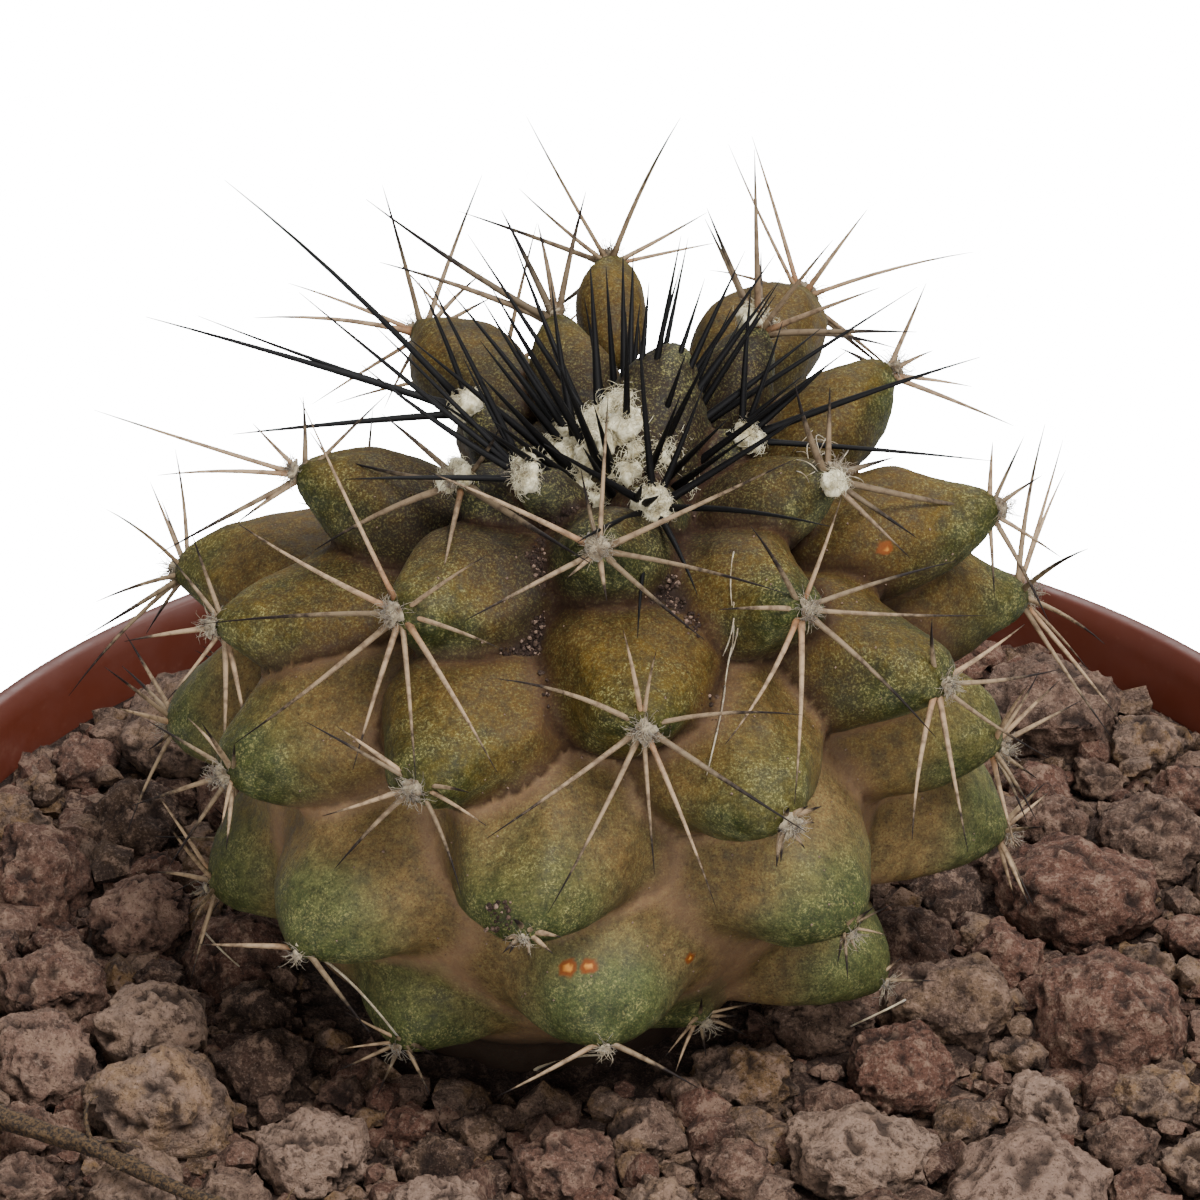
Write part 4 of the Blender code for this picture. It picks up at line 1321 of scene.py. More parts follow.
@dataclass
class SpineCoat:
    """All spines that grow from the areoles."""

    growth: Growth
    view: PhotoView
    radius: float = 0.12 * MM
    young_radius: float = 0.155 * MM
    root_depth: float = 0.5 * MM
    per_areole: int = 6
    between: int = 2
    oldest_young: int = 6
    floor_drop: float = 1.0 * MM
    least_facing: float = 0.35
    tilt: float = 0.12
    splay: float = 0.3
    rules: tuple = (
        (6, (46.0, 74.0), (0.0048, 0.0080)),
        (22, (60.0, 78.0), (0.0045, 0.0075)),
        (44, (60.0, 80.0), (0.0022, 0.0055)),
    )

    def star_ends(self, tubercle: Tubercle) -> list[Vector]:
        """Ends of the spines of a star that is given as it looks from the front."""
        toward = -self.view.axes()[0]
        facing = tubercle.axis.dot(toward)
        ends = []
        for clock, length in FRONT_STARS[tubercle.index]:
            flat = self.view.across(clock)
            nearer = self.tilt
            if facing > self.least_facing and tubercle.index > 0:
                nearer = clamp((self.splay - flat.dot(tubercle.axis)) / facing, -0.7, 0.9)
            ends.append(tubercle.tip + (flat + toward * nearer) * length)
        return ends

    def rule_ends(self, tubercle: Tubercle, draw: Random, count: int) -> list[Vector]:
        """Ends of the spines of any other areole, drawn evenly round it by its age."""
        lean_range, length_range = next(rule[1:] for rule in self.rules if tubercle.index <= rule[0])
        start = draw.uniform(0.0, 60.0)
        ends = []
        for number in range(count):
            clock = radians(start + 360.0 * number / count + draw.uniform(-14.0, 14.0))
            lean = radians(draw.uniform(*lean_range))
            length = draw.uniform(*length_range)
            spread = tubercle.side * cos(clock) + tubercle.up * sin(clock)
            ends.append(tubercle.tip + (tubercle.axis * cos(lean) + spread * sin(lean)) * length)
        return ends

    def spines(self) -> Iterator[Spine]:
        """All spines, the solid's own ones first and then those between them."""
        floor = self.growth.rim_z - self.floor_drop
        for tubercle in self.growth.tubercles(skip=2):
            index = tubercle.index
            young = index <= self.oldest_young
            radius = self.young_radius if young else self.radius
            if index in FRONT_STARS:
                ends = self.star_ends(tubercle)
            else:
                ends = self.rule_ends(tubercle, Random(500 + index), self.per_areole)
                ends += self.rule_ends(tubercle, Random(900 + index), self.between)
            root = tubercle.tip - tubercle.axis * self.root_depth
            if index in STUBS:
                ends = [tubercle.tip.lerp(end, STUBS[index]) for end in ends]
                radius *= 1.3 if STUBS[index] < 0.35 else 0.8
            for end in ends:
                if end.z < floor:
                    end = Vector((end.x, end.y, min(floor, tubercle.tip.z)))
                age = 0.1 if index < 3 else (0.55 if young else 1.0)
                yield Spine(root, end, radius, age)

    def build(self) -> Piece:
        """Makes all spines as one piece.

        Returns:
            The finished piece.
        """
        draw = Random(12)
        brush = StrandBrush(sides=7, rings=7, point=0.08, taper=1.6)
        for spine in self.spines():
            along = spine.end - spine.root
            aside = along.cross(scatter(draw))
            bend = aside.normalized() * along.length * draw.uniform(0.0, 0.035)
            sag = Vector((0.0, 0.0, 0.02 * along.length * draw.random()))
            middle = (spine.root + spine.end) / 2.0 + bend + sag
            radius = spine.radius * draw.uniform(0.8, 1.1)
            brush.lay([spine.root, middle, spine.end], radius, draw.random(), spine.age, swell=0.7)
        return brush.lift_off("cactus_spines")


@dataclass
class AreoleFelt:
    """Grey-cream tufts of felt on the areoles."""

    growth: Growth
    pad: float = 0.56 * MM
    last_woolly: int = 26
    old_share: float = 0.55
    hairs: int = 96
    old_hairs: int = 36
    hair_length: float = 0.52 * MM
    hair_radius: float = 0.014 * MM

    def build(self) -> Piece:
        """Makes the felt of all areoles as one piece.

        Returns:
            The finished piece.
        """
        draw = Random(88)
        brush = StrandBrush(sides=3, rings=3, point=0.4)
        for tubercle in self.growth.tubercles(skip=2):
            size = min(self.pad, tubercle.half_width * 0.3) * draw.uniform(0.85, 1.1)
            hairs = self.hairs
            if tubercle.index > self.last_woolly:
                size *= self.old_share
                hairs = self.old_hairs
            turn = tubercle.axis.to_track_quat("Z", "Y").to_matrix()
            for _ in range(hairs):
                clock = draw.uniform(0.0, tau)
                lean = radians(draw.uniform(5.0, 95.0))
                heading = turn @ Vector((
                    sin(lean) * cos(clock), sin(lean) * sin(clock), cos(lean)))
                way = any_way(draw).normalized()
                length = self.hair_length * draw.uniform(0.6, 1.5)
                root = tubercle.tip + heading * size * 0.6 - tubercle.axis * size * 0.3
                end = root + (heading * 0.6 + way).normalized() * length
                middle = (root + end) / 2.0 + heading * length * draw.uniform(0.1, 0.4)
                brush.lay([root, middle, end], self.hair_radius, draw.random(), 1.0)
            self.add_pad(brush.bm, tubercle, size, turn)
        return brush.lift_off("areole_felt")

    def add_pad(self, bm: Mesh, tubercle: Tubercle, size: float, turn: Matrix) -> None:
        """Adds the lumpy cushion that the hairs stand in."""
        made = bmesh.ops.create_icosphere(bm, subdivisions=3, radius=size * 0.7)
        for vert in made["verts"]:
            lump = 1.0 + 0.9 * noise.noise(vert.co / (0.22 * MM) + tubercle.tip * 900.0)
            flat = Vector((vert.co.x * lump, vert.co.y * lump, vert.co.z * lump * 0.55))
            vert.co = tubercle.tip + turn @ flat


@dataclass
class CrownWool:
    """Matted cream wool in the hollow of the crown, with black spines standing in it."""

    growth: Growth
    view: PhotoView
    radius: float = 3.4 * MM
    cushion_height: float = 2.4 * MM
    rise: float = 20.2 * MM
    heap_radius: float = 2.7 * MM
    heap_height: float = 3.0 * MM
    woolly: tuple = (-3, -1, 0, 1, 2, 3, 4, 5)
    lumps: int = 34
    fibres: int = 120
    fibre_radius: float = 0.012 * MM
    spine_count: int = 22
    between_count: int = 13
    spine_length: float = 8.4 * MM
    spine_radius: float = 0.23 * MM

    def middle(self) -> Vector:
        """Middle of the woolly cushion, in the leaning crown."""
        return self.growth.stem_at(self.rise)

    def clumps(self) -> Iterator[tuple[Vector, Vector, float]]:
        """Middle, direction and size of each clump of wool, those of the heap and of the areoles."""
        draw = Random(909)
        for number in range(self.lumps):
            share = sqrt((number + 0.5) / self.lumps)
            turn = radians(self.growth.golden_angle * number)
            out = Vector((cos(turn), sin(turn), 0.0))
            aside = scatter(draw) * 0.45 * MM
            lift = self.heap_height * (1.0 - share ** 1.6)
            place = self.middle() + out * self.heap_radius * share + Vector((0.0, 0.0, lift)) + aside
            yield place, (out * share + Vector((0.0, 0.0, 0.7))).normalized(), draw.uniform(0.55, 0.95) * MM
        for index in self.woolly:
            tubercle = self.growth.tubercle(index)
            count = 5 if index < 3 else 3
            for _ in range(count):
                aside = tubercle.side * draw.uniform(-1, 1) + tubercle.up * draw.uniform(-0.6, 0.8)
                place = tubercle.tip + aside * 0.55 * MM - tubercle.axis * 0.15 * MM
                yield place, tubercle.axis, draw.uniform(0.42, 0.62) * MM

    def build_wool(self) -> Piece:
        """Makes the clumps as one piece, each a lump under a mat of curly fibres.

        Returns:
            The finished piece.
        """
        draw = Random(303)
        brush = StrandBrush(sides=3, rings=3, point=0.5)
        for middle, heading, size in self.clumps():
            made = bmesh.ops.create_icosphere(brush.bm, subdivisions=3, radius=size * 0.85)
            for vert in made["verts"]:
                lump = 1.0 + 0.55 * noise.fractal(vert.co / (0.45 * MM) + middle * 500.0, 0.7, 2.2, 3)
                vert.co = middle + vert.co * lump
            for _ in range(int(self.fibres * size / (0.7 * MM))):
                out = (any_way(draw) + heading).normalized()
                way = out.cross(scatter(draw))
                length = draw.uniform(0.5, 1.05) * size
                root = middle + out * size * draw.uniform(0.75, 0.95)
                end = root + (way.normalized() + out * draw.uniform(-0.25, 0.35)) * length
                bow = (root + end) / 2.0 + out * length * draw.uniform(0.05, 0.25)
                brush.lay([root, bow, end], self.fibre_radius, draw.random(), 0.0)
        return brush.lift_off("crown_wool_tufts")

    def build_spines(self) -> Piece:
        """Makes the black young spines that stand in the wool.

        Returns:
            The finished piece.
        """
        draw = Random(71)
        bends = Random(72)
        brush = StrandBrush(sides=8, rings=6, point=0.05, taper=1.25)
        for number in range(self.spine_count + self.between_count):
            between = number >= self.spine_count
            turn = number - self.spine_count + 0.5 if between else number
            azimuth = radians(self.growth.golden_angle * turn)
            share = sqrt((turn + 0.5) / (self.between_count if between else self.spine_count))
            flat = outward(azimuth)
            root = self.middle() + flat * self.radius * 0.72 * share
            lean = radians(8.0 + 46.0 * share + draw.uniform(-5.0, 5.0))
            length = self.spine_length * draw.uniform(0.85, 1.15) * (0.78 if between else 1.0)
            heading = flat * sin(lean) + Vector((0.0, 0.0, cos(lean)))
            self.lay_spine(brush, root, root + heading * length, bends)
        for clock, length in LONG_CROWN_SPINES:
            end = self.middle() + self.view.across(clock) * (length + self.cushion_height)
            self.lay_spine(brush, self.middle(), end, bends)
        depth = self.view.depth_of(self.middle() + Vector((0.0, 0.0, 0.5 * self.heap_height)))
        for foot, point in UPRIGHT_CROWN_SPINES:
            root = self.view.at_depth(foot, depth)
            self.lay_spine(brush, root, self.view.at_depth(point, depth), bends)
        return brush.lift_off("crown_spines")

    def lay_spine(self, brush: StrandBrush, root: Vector, end: Vector, draw: Random) -> None:
        """Adds one straight, faintly bent spine."""
        along = end - root
        bend = along.cross(Vector((0.0, 0.0, 1.0))) * draw.uniform(-0.025, 0.025)
        radius = self.spine_radius * draw.uniform(0.8, 1.05)
        brush.lay([root, (root + end) / 2.0 + bend, end], radius, draw.random(), 0.0)


@dataclass(frozen=True)
class Stone:
    """One stone of the grit: its number in the draw, place and size."""

    number: int
    x: float
    y: float
    z: float
    size: float


@dataclass
class GritBed:
    """The lava grit: the stones of the solid's top layer, small ones between them and the bed."""

    growth: Growth
    cactus: BVHTree
    classes: tuple = ((0.0070, 12), (0.0054, 34), (0.0041, 70), (0.0031, 120))
    tries: int = 4000
    jitter: float = 0.16
    reach: float = 0.0302
    crowding: float = 0.80
    sink_step: float = 0.0004
    shrink: float = 0.8
    gap: float = 0.0003
    root_x: float = -0.0038
    root_radius: float = 0.0092
    breaks: int = 9
    chips: int = 2300
    grains: int = 9000
    chip_jitter: float = 0.30
    sharp_angle: float = radians(38.0)
    lump_share: float = 0.04
    roughness: float = 0.20 * MM
    pore_depth: float = 0.30 * MM
    fill_foot: float = 0.0212
    fill_top: float = 0.0308
    bed_rings: int = 40
    bed_ring: float = 0.74 * MM
    bed_roughness: float = 0.45 * MM
    layers: tuple = (
        ("grit_big", 4.9 * MM, 1.0, 14),
        ("grit_middle", 3.6 * MM, 4.9 * MM, 10),
        ("grit_small", 0.0, 3.6 * MM, 7),
    )
    placed: list[Stone] = field(default_factory=list)

    def raw_stone(self, stone: Stone, jitter: float | None = None) -> Mesh:
        """The angular stone of the solid, before its surface is worked, or a rougher one."""
        draw = Random(9000 + stone.number)
        jitter = self.jitter if jitter is None else jitter
        bm = bmesh.new()
        bmesh.ops.create_icosphere(bm, subdivisions=1, radius=0.5 * stone.size)
        for vert in bm.verts:
            vert.co *= 1.0 + draw.uniform(-jitter, jitter)
        wide, deep, tall = draw.uniform(0.98, 1.18), draw.uniform(0.82, 1.0), draw.uniform(0.66, 0.86)
        shape = Matrix.Diagonal((wide, deep, tall, 1.0))
        spin = Matrix.Rotation(draw.uniform(0.0, tau), 4, "Z")
        tip = Matrix.Rotation(draw.uniform(-0.35, 0.35), 4, "X")
        bm.transform(Matrix.Translation((stone.x, stone.y, stone.z)) @ spin @ tip @ shape)
        return bm

    def layout(self) -> list[tuple[float, float, float]]:
        """Places and sizes of the stones, big ones first, packed side by side."""
        draw = Random(4711)
        stones = list(FRONT_STONES)
        for size, wanted in self.classes:
            placed = 0
            for _ in range(self.tries):
                if placed == wanted:
                    break
                angle = draw.uniform(0.0, tau)
                this_size = size * draw.uniform(0.86, 1.14)
                radius = (self.reach - 0.5 * this_size) * sqrt(draw.random())
                x, y = radius * cos(angle), radius * sin(angle)
                apart = (
                    hypot(x - other[0], y - other[1]) > self.crowding * 0.5 * (this_size + other[2])
                    for other in stones
                )
                if all(apart):
                    stones.append((x, y, this_size))
                    placed += 1
        return stones

    def settle_stones(self) -> None:
        """Finds for each stone the height and size at which it clears the plant."""
        for number, (x, y, size) in enumerate(self.layout()):
            stone = None if self.on_root(x, y, 0.45 * size) else self.clear_stone(number, x, y, size)
            if stone is not None:
                self.placed.append(stone)

    def on_root(self, x: float, y: float, reach: float) -> bool:
        """Whether what reaches so far from a place would lie on the plant's root."""
        return hypot(x - self.root_x, y - self.growth.stem_y) < self.root_radius + reach

    def clear_stone(self, number: int, x: float, y: float, size: float) -> Stone | None:
        """Sinks a stone, and then makes it smaller, until it clears the plant."""
        bed = self.growth.bed_z
        while size > self.classes[-1][0] * self.shrink:
            height = 0.14 * size
            while height > -0.25 * size:
                bigger = self.raw_stone(Stone(number, x, y, bed + height, size + 2.4 * self.gap))
                crossing = BVHTree.FromBMesh(bigger).overlap(self.cactus)
                bigger.free()
                if not crossing:
                    return Stone(number, x, y, bed + height, size)
                height -= self.sink_step
            size *= self.shrink
        return None

    def worked_stone(self, stone: Stone, cuts: int) -> Mesh:
        """Gives a stone its rounded edges, lumps and pores.

        Args:
            stone: The stone.
            cuts: How finely its faces are divided.

        Returns:
            The stone's mesh with the attribute stone.
        """
        bm = self.raw_stone(stone)
        draw = Random(stone.number)
        hue, bright = draw.random(), 0.8 * draw.random()
        if stone.number < len(FRONT_SHADES):
            hue, bright = FRONT_SHADES[stone.number]
        bmesh.ops.subdivide_edges(bm, edges=bm.edges, cuts=cuts, use_grid_fill=True, smooth=0.0)
        relax(bm, 1 + cuts // 4)
        middle = Vector((stone.x, stone.y, stone.z))
        breaks = []
        for _ in range(self.breaks):
            way = any_way(draw).normalized()
            reach = 0.5 * stone.size * sqrt(1.0 - 0.42 * way.z * way.z)
            breaks.append((way, reach * draw.uniform(0.66, 0.88)))
        for vert in bm.verts:
            spot = vert.co - middle
            for way, reach in breaks:
                spot -= way * 0.9 * max(0.0, spot.dot(way) - reach)
            vert.co = middle + spot
        bm.normal_update()
        layer = bm.verts.layers.float_color.new("stone")
        seed = Vector((0.0, 0.0, 1.7 * stone.number))
        moves = []
        for vert in bm.verts:
            spot = vert.co + seed * MM
            broad = noise.noise(spot / (0.36 * stone.size) + seed)
            rough = noise.fractal(spot / (0.9 * MM) + seed, 0.4, 2.1, 5)
            hollow = noise.fractal(spot / (1.1 * MM) - seed, 0.5, 2.2, 4)
            pit = noise.voronoi(spot / (0.5 * MM) + seed)[0][0]
            pore = 0.9 * eased(0.15, 0.6, hollow)
            pore = max(pore, 0.7 * eased(0.36, 0.14, pit) * eased(-0.4, 0.2, broad + rough))
            height = self.lump_share * stone.size * broad + self.roughness * rough - self.pore_depth * pore
            moves.append(vert.normal * height)
            vert[layer] = (hue, bright, pore, 1.0)
        for vert, move in zip(bm.verts, moves):
            vert.co += move
        return bm

    def build_layer(self, name: str, least: float, most: float, cuts: int) -> Piece:
        """Makes all stones of a range of sizes as one piece.

        Args:
            name: The piece's name.
            least: Smallest size in it.
            most: Size at which the next layer starts.
            cuts: How finely the stones are divided.

        Returns:
            The finished piece.
        """
        canvas = Canvas("stone")
        for stone in self.placed:
            if least <= stone.size < most:
                canvas.add(self.worked_stone(stone, cuts))
        return canvas.lift_off(name)

    def build_chips(self) -> Piece:
        """Makes the small chips that fill the gaps between the stones.

        Returns:
            The finished piece.
        """
        draw = Random(555)
        canvas = Canvas("stone")
        for number in range(self.chips + self.grains):
            fine = number >= self.chips
            size = (draw.uniform(0.45, 1.0) if fine else draw.uniform(1.0, 2.5)) * MM
            angle = draw.uniform(0.0, tau)
            radius = (self.reach + 0.4 * MM - 0.5 * size) * sqrt(draw.random())
            x, y = radius * cos(angle), radius * sin(angle)
            if self.on_root(x, y, 0.5 * size) or not self.in_gap(x, y, size):
                continue
            lift = draw.uniform(0.05, 0.35) * MM if fine else draw.uniform(0.1, 0.9) * MM
            bm = self.clear_chip(number, x, y, size, lift)
            if bm is None:
                continue
            if not fine:
                bmesh.ops.subdivide_edges(bm, edges=bm.edges, cuts=1, use_grid_fill=True)
            layer = bm.verts.layers.float_color.new("stone")
            shade = (draw.random(), draw.random() * (0.5 if fine else 0.8), 0.1, 1.0)
            for vert in bm.verts:
                vert.co += scatter(draw) * size * 0.05
                vert[layer] = shade
            canvas.add(bm)
        return canvas.lift_off("grit_chips")

    def in_gap(self, x: float, y: float, size: float) -> bool:
        """Whether a chip of a size fits beside the stones rather than in one."""
        return all(
            hypot(x - stone.x, y - stone.y) > 0.42 * stone.size + 0.15 * size
            for stone in self.placed
        )

    def clear_chip(self, number: int, x: float, y: float, size: float, height: float) -> Mesh | None:
        """Sinks a chip until it clears the plant.

        Args:
            number: Its number, which shapes it.
            x: Its place.
            y: Its place.
            size: Its width.
            height: How far above the bed it is tried first.

        Returns:
            The chip, or None where there is no room.
        """
        bed = self.growth.bed_z
        while height > -0.3 * size:
            bm = self.raw_stone(Stone(5000 + number, x, y, bed + height, size), self.chip_jitter)
            if not BVHTree.FromBMesh(bm).overlap(self.cactus):
                return bm
            bm.free()
            height -= 0.35 * MM
        return None

    def build_bed(self) -> Piece:
        """Makes the rough top of the bed under the stones, with the fill below it.

        Returns:
            The finished piece.
        """
        floor_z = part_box("gravel")[0][2]
        bed = self.growth.bed_z
        depth = bed - floor_z
        bm = bmesh.new()
        add_cone(bm, 144, self.fill_foot, self.fill_top, depth, (0.0, 0.0, floor_z + depth / 2.0))
        top = [face for face in bm.faces if face.normal.z > 0.9]
        for _ in range(self.bed_rings):
            bmesh.ops.inset_region(bm, faces=top, thickness=self.bed_ring, use_even_offset=False)
        layer = bm.verts.layers.float_color.new("stone")
        for vert in bm.verts:
            # Dark and half in the pores' colour: painted shade for the deep gaps between the stones
            vert[layer] = (0.5, 0.1, 0.55, 1.0)
            radius = hypot(vert.co.x, vert.co.y)
            if abs(vert.co.z - bed) < 0.05 * MM and radius < self.reach:
                vert.co.z += self.bed_roughness * noise.fractal(vert.co / MM, 0.7, 2.0, 3)
        return mesh_object(bm, "grit_bed")


@dataclass
class NurseryPot:
    """The thin tapered pot with its rim band and drain holes."""

    height: float
    rim_radius: float
    band_height: float = 8.0 * MM
    band_step: float = 1.6 * MM
    foot_radius: float = 22.5 * MM
    wall: float = 0.9 * MM
    floor: float = 1.6 * MM
    lip: float = 0.5 * MM
    holes: int = 6
    hole_radius: float = 1.6 * MM
    hole_circle: float = 14.5 * MM
    sides: int = 144

    def wall_radius(self, height: float) -> float:
        """Outer radius of the tapered wall below the band."""
        share = height / (self.height - self.band_height)
        return self.foot_radius + (self.rim_radius - self.band_step - self.foot_radius) * share

    def outline(self) -> list[tuple[float, float]]:
        """Points of the wall's section, from the axis up the inside and down the outside."""
        band_foot = self.height - self.band_height
        inner = self.rim_radius - self.wall
        edge = 0.4 * MM
        rim_round = [
            (self.rim_radius - edge + edge * sin(radians(angle)),
             self.height - edge + edge * cos(radians(angle)))
            for angle in (0, 30, 60, 90)
        ]
        return [
            (0.0, self.floor),
            (self.wall_radius(self.floor) - self.wall - 0.5 * MM, self.floor),
            (self.wall_radius(self.floor) - self.wall, self.floor + 0.5 * MM),
            (self.wall_radius(band_foot) - self.wall, band_foot),
            (inner - 0.3 * MM, band_foot + self.wall),
            (inner - self.lip, self.height - 2 * edge),
            (inner, self.height - 0.1 * MM),
            (inner + 0.1 * MM, self.height),
            *rim_round,
            (self.rim_radius - 0.3 * MM, band_foot + edge),
            (self.rim_radius - 0.42 * MM, band_foot + 0.12 * MM),
            (self.rim_radius - 0.6 * MM, band_foot),
            (self.wall_radius(band_foot) + 0.25 * MM, band_foot),
            (self.wall_radius(band_foot), band_foot - 0.25 * MM),
            (self.wall_radius(6 * MM) + 0.05 * MM, 6 * MM),
            (self.foot_radius + 0.2 * MM, 2 * edge),
            (self.foot_radius, 0.5 * edge),
            (self.foot_radius - edge, 0.0),
            (0.0, 0.0),
        ]

    def build(self) -> Piece:
        """Spins the wall's section and cuts the drain holes.

        Returns:
            The finished pot.
        """
        bm = bmesh.new()
        verts = [bm.verts.new((radius, 0.0, height)) for radius, height in self.outline()]
        edges = [bm.edges.new(pair) for pair in zip(verts, verts[1:])]
        bmesh.ops.spin(
            bm, geom=verts + edges, cent=(0, 0, 0), axis=(0, 0, 1), angle=tau, steps=self.sides,
            use_merge=True, use_duplicate=False,
        )
        bmesh.ops.remove_doubles(bm, verts=bm.verts, dist=0.000001)
        bmesh.ops.recalc_face_normals(bm, faces=bm.faces)
        pot = mesh_object(bm, "nursery_pot")
        drills = bmesh.new()
        for number in range(self.holes):
            angle = radians(360.0 * (number + 0.5) / self.holes)
            x, y = self.hole_circle * cos(angle), self.hole_circle * sin(angle)
            add_cone(drills, 24, self.hole_radius, self.hole_radius, 6 * self.floor, (x, y, 0.0))
        cutter = mesh_object(drills, "drills")
        cut = pot.modifiers.new("holes", "BOOLEAN")
        cut.operation = "DIFFERENCE"
        cut.solver = "EXACT"
        cut.object = cutter
        baked(pot)
        bpy.data.objects.remove(cutter, do_unlink=True)
        return pot


@dataclass
class Studio:
    """White floor, soft lights and the camera where the photograph was taken."""

    view: PhotoView
    sensor: float = 36.0
    floor_glare: float = 10.0
    surroundings: float = 0.36
    lights: tuple = (
        ("key", (0.18, -0.16, 0.54), 0.22, 4.6),
        ("fill", (-0.06, -0.50, 0.24), 0.30, 1.7),
        ("back", (0.05, 0.45, 0.45), 0.35, 2.2),
    )

    def build(self) -> None:
        """Sets the camera, the floor and the lights."""
        self.build_camera()
        self.build_floor()
        self.build_lights()

    def build_floor(self) -> None:
        """Lays the plain pale floor, which the camera sees brightly lit."""
        bm = bmesh.new()
        bmesh.ops.create_grid(bm, x_segments=8, y_segments=8, size=3.0)
        floor = mesh_object(bm, "studio_floor")
        paint = Paint("studio floor")
        direct = paint.node("ShaderNodeLightPath").outputs["Is Camera Ray"]
        colour = paint.mix(direct, (0.8, 0.8, 0.8, 1.0), (self.floor_glare,) * 3 + (1.0,))
        diffuse = paint.node("ShaderNodeBsdfDiffuse", {"Color": colour})
        output = paint.tree.nodes["Material Output"]
        paint.feed(output.inputs["Surface"], diffuse.outputs[0])
        floor.data.materials.append(paint.material)

    def build_lights(self) -> None:
        """Sets a broad key light, a front fill, a back light and the pale surroundings."""
        world = bpy.data.worlds.new("studio")
        world.use_nodes = True
        background = world.node_tree.nodes["Background"]
        background.inputs["Color"].default_value = (1.0, 1.0, 1.0, 1.0)
        background.inputs["Strength"].default_value = self.surroundings
        bpy.context.scene.world = world
        for name, place, size, energy in self.lights:
            self.add_light(name, Vector(place), size, energy)

    def add_light(self, name: str, place: Vector, size: float, energy: float) -> None:
        """Adds one square soft light that shines at the plant."""
        lamp = bpy.data.lights.new(name, "AREA")
        lamp.size = size
        lamp.energy = energy
        light = bpy.data.objects.new(name, lamp)
        bpy.context.scene.collection.objects.link(light)
        heading = Vector((0.0, 0.0, self.view.rim_z)) - place
        turn = heading.to_track_quat("-Z", "Y").to_matrix().to_4x4()
        light.matrix_world = Matrix.Translation(place) @ turn

    def build_camera(self) -> None:
        """Sets the camera so that the pot's rim falls where the photograph has it."""
        ahead, right, up = self.view.axes()
        lens = bpy.data.cameras.new("photo_camera")
        lens.sensor_width = self.sensor
        lens.lens = self.view.pixels_per_radian * self.sensor / PHOTO_SIDE
        lens.clip_start = 0.01
        camera = bpy.data.objects.new("photo_camera", lens)
        bpy.context.scene.collection.objects.link(camera)
        turn = Matrix((right, up, -ahead)).transposed().to_4x4()
        camera.matrix_world = Matrix.Translation(self.view.place()) @ turn
        bpy.context.scene.camera = camera


@dataclass
class DryTwig:
    """A dry bit of root across the stones: ridged bark with knots, side roots and frayed ends."""

    start: tuple = (-26.8 * MM, -9.8 * MM)
    end: tuple = (-13.0 * MM, -19.6 * MM)
    radius: float = 0.42 * MM
    bow: float = 1.2 * MM
    points: int = 15
    rings: int = 110
    sides: int = 16
    rootlets: int = 16
    knots: int = 7
    knot_span: float = 0.018

    def taper(self, share: float) -> float:
        """Share of its radius that the twig has at a share of its length."""
        return 1.15 - 0.65 * share

    def guide(self) -> list[Vector]:
        """Points of the centre line, at the heights at which the solid twig lies."""
        tree = surface_tree(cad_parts["dry_twig"])
        start, end = Vector((*self.start, 0.0)), Vector((*self.end, 0.0))
        aside = Vector((end.y - start.y, start.x - end.x, 0.0)).normalized()
        found = []
        for number in range(self.points):
            share = clamp(number / (self.points - 1), 0.005, 0.995)
            wave = sin(pi * share) + 0.25 * sin(3.0 * pi * share)
            spot = start.lerp(end, share) + aside * self.bow * wave
            hit = tree.ray_cast(Vector((spot.x, spot.y, 0.2)), Vector((0.0, 0.0, -1.0)))[0]
            wide = self.radius * self.taper(share)
            height = hit.z - wide if hit is not None else found[-1].z
            found.append(Vector((spot.x, spot.y, height)))
        return found

    def along(self, guide: list[Vector], share: float) -> tuple[Vector, Vector]:
        """Place and direction at a share of the smooth line through the guide points."""
        position = share * (len(guide) - 1)
        number = min(int(position), len(guide) - 2)
        part = position - number
        before, here = guide[max(0, number - 1)], guide[number]
        there, after = guide[number + 1], guide[min(len(guide) - 1, number + 2)]
        leave, arrive = (there - before) / 2.0, (after - here) / 2.0
        square, cube = part * part, part ** 3
        place = here * (2 * cube - 3 * square + 1) + leave * (cube - 2 * square + part)
        place += there * (3 * square - 2 * cube) + arrive * (cube - square)
        return place, leave.lerp(arrive, part).normalized()

    def build(self) -> Piece:
        """Makes the bark and its rootlets as one piece.

        Returns:
            The finished piece.
        """
        guide = self.guide()
        draw = Random(404)
        knots = [(draw.uniform(0.05, 0.95), draw.uniform(0.25, 0.6)) for _ in range(self.knots)]
        brush = StrandBrush(sides=5, rings=6, point=0.25)
        bark = slim_cylinder(self.sides, self.rings)
        for vert in bark.verts:
            share = clamp(vert.co.z)
            place, ahead = self.along(guide, share)
            across = ahead.cross(Vector((0.0, 0.0, 1.0))).normalized()
            over = across.cross(ahead)
            clock = atan2(vert.co.y, vert.co.x)
            ridge = noise.noise(Vector((1.6 * cos(clock), 1.6 * sin(clock), 7.0 * share)))
            fine = noise.noise(Vector((4.0 * cos(clock), 4.0 * sin(clock), 26.0 * share)))
            knot = sum(size * bell(share, at, self.knot_span) for at, size in knots)
            wide = self.radius * self.taper(share) * (0.94 + 0.30 * ridge + 0.18 * fine + 0.4 * knot)
            vert.co = place + (across * vert.co.x + over * vert.co.y) * wide
        brush.add(bark)
        for number in range(self.rootlets):
            share = draw.choice(knots)[0] if number % 2 else draw.choice((0.02, 0.98))
            place, ahead = self.along(guide, share)
            away = -ahead if share < 0.1 else ahead
            way = away * draw.uniform(0.4, 1.2) + scatter(draw, 0.0, 0.5)
            length = draw.uniform(0.8, 2.2) * MM
            end = place + way.normalized() * length
            middle = (place + end) / 2.0 + scatter(draw, 0.0) * 0.2 * length
            brush.lay([place, middle, end], draw.uniform(0.05, 0.11) * MM, draw.random(), 1.0)
        return brush.lift_off("dry_twig_bark")


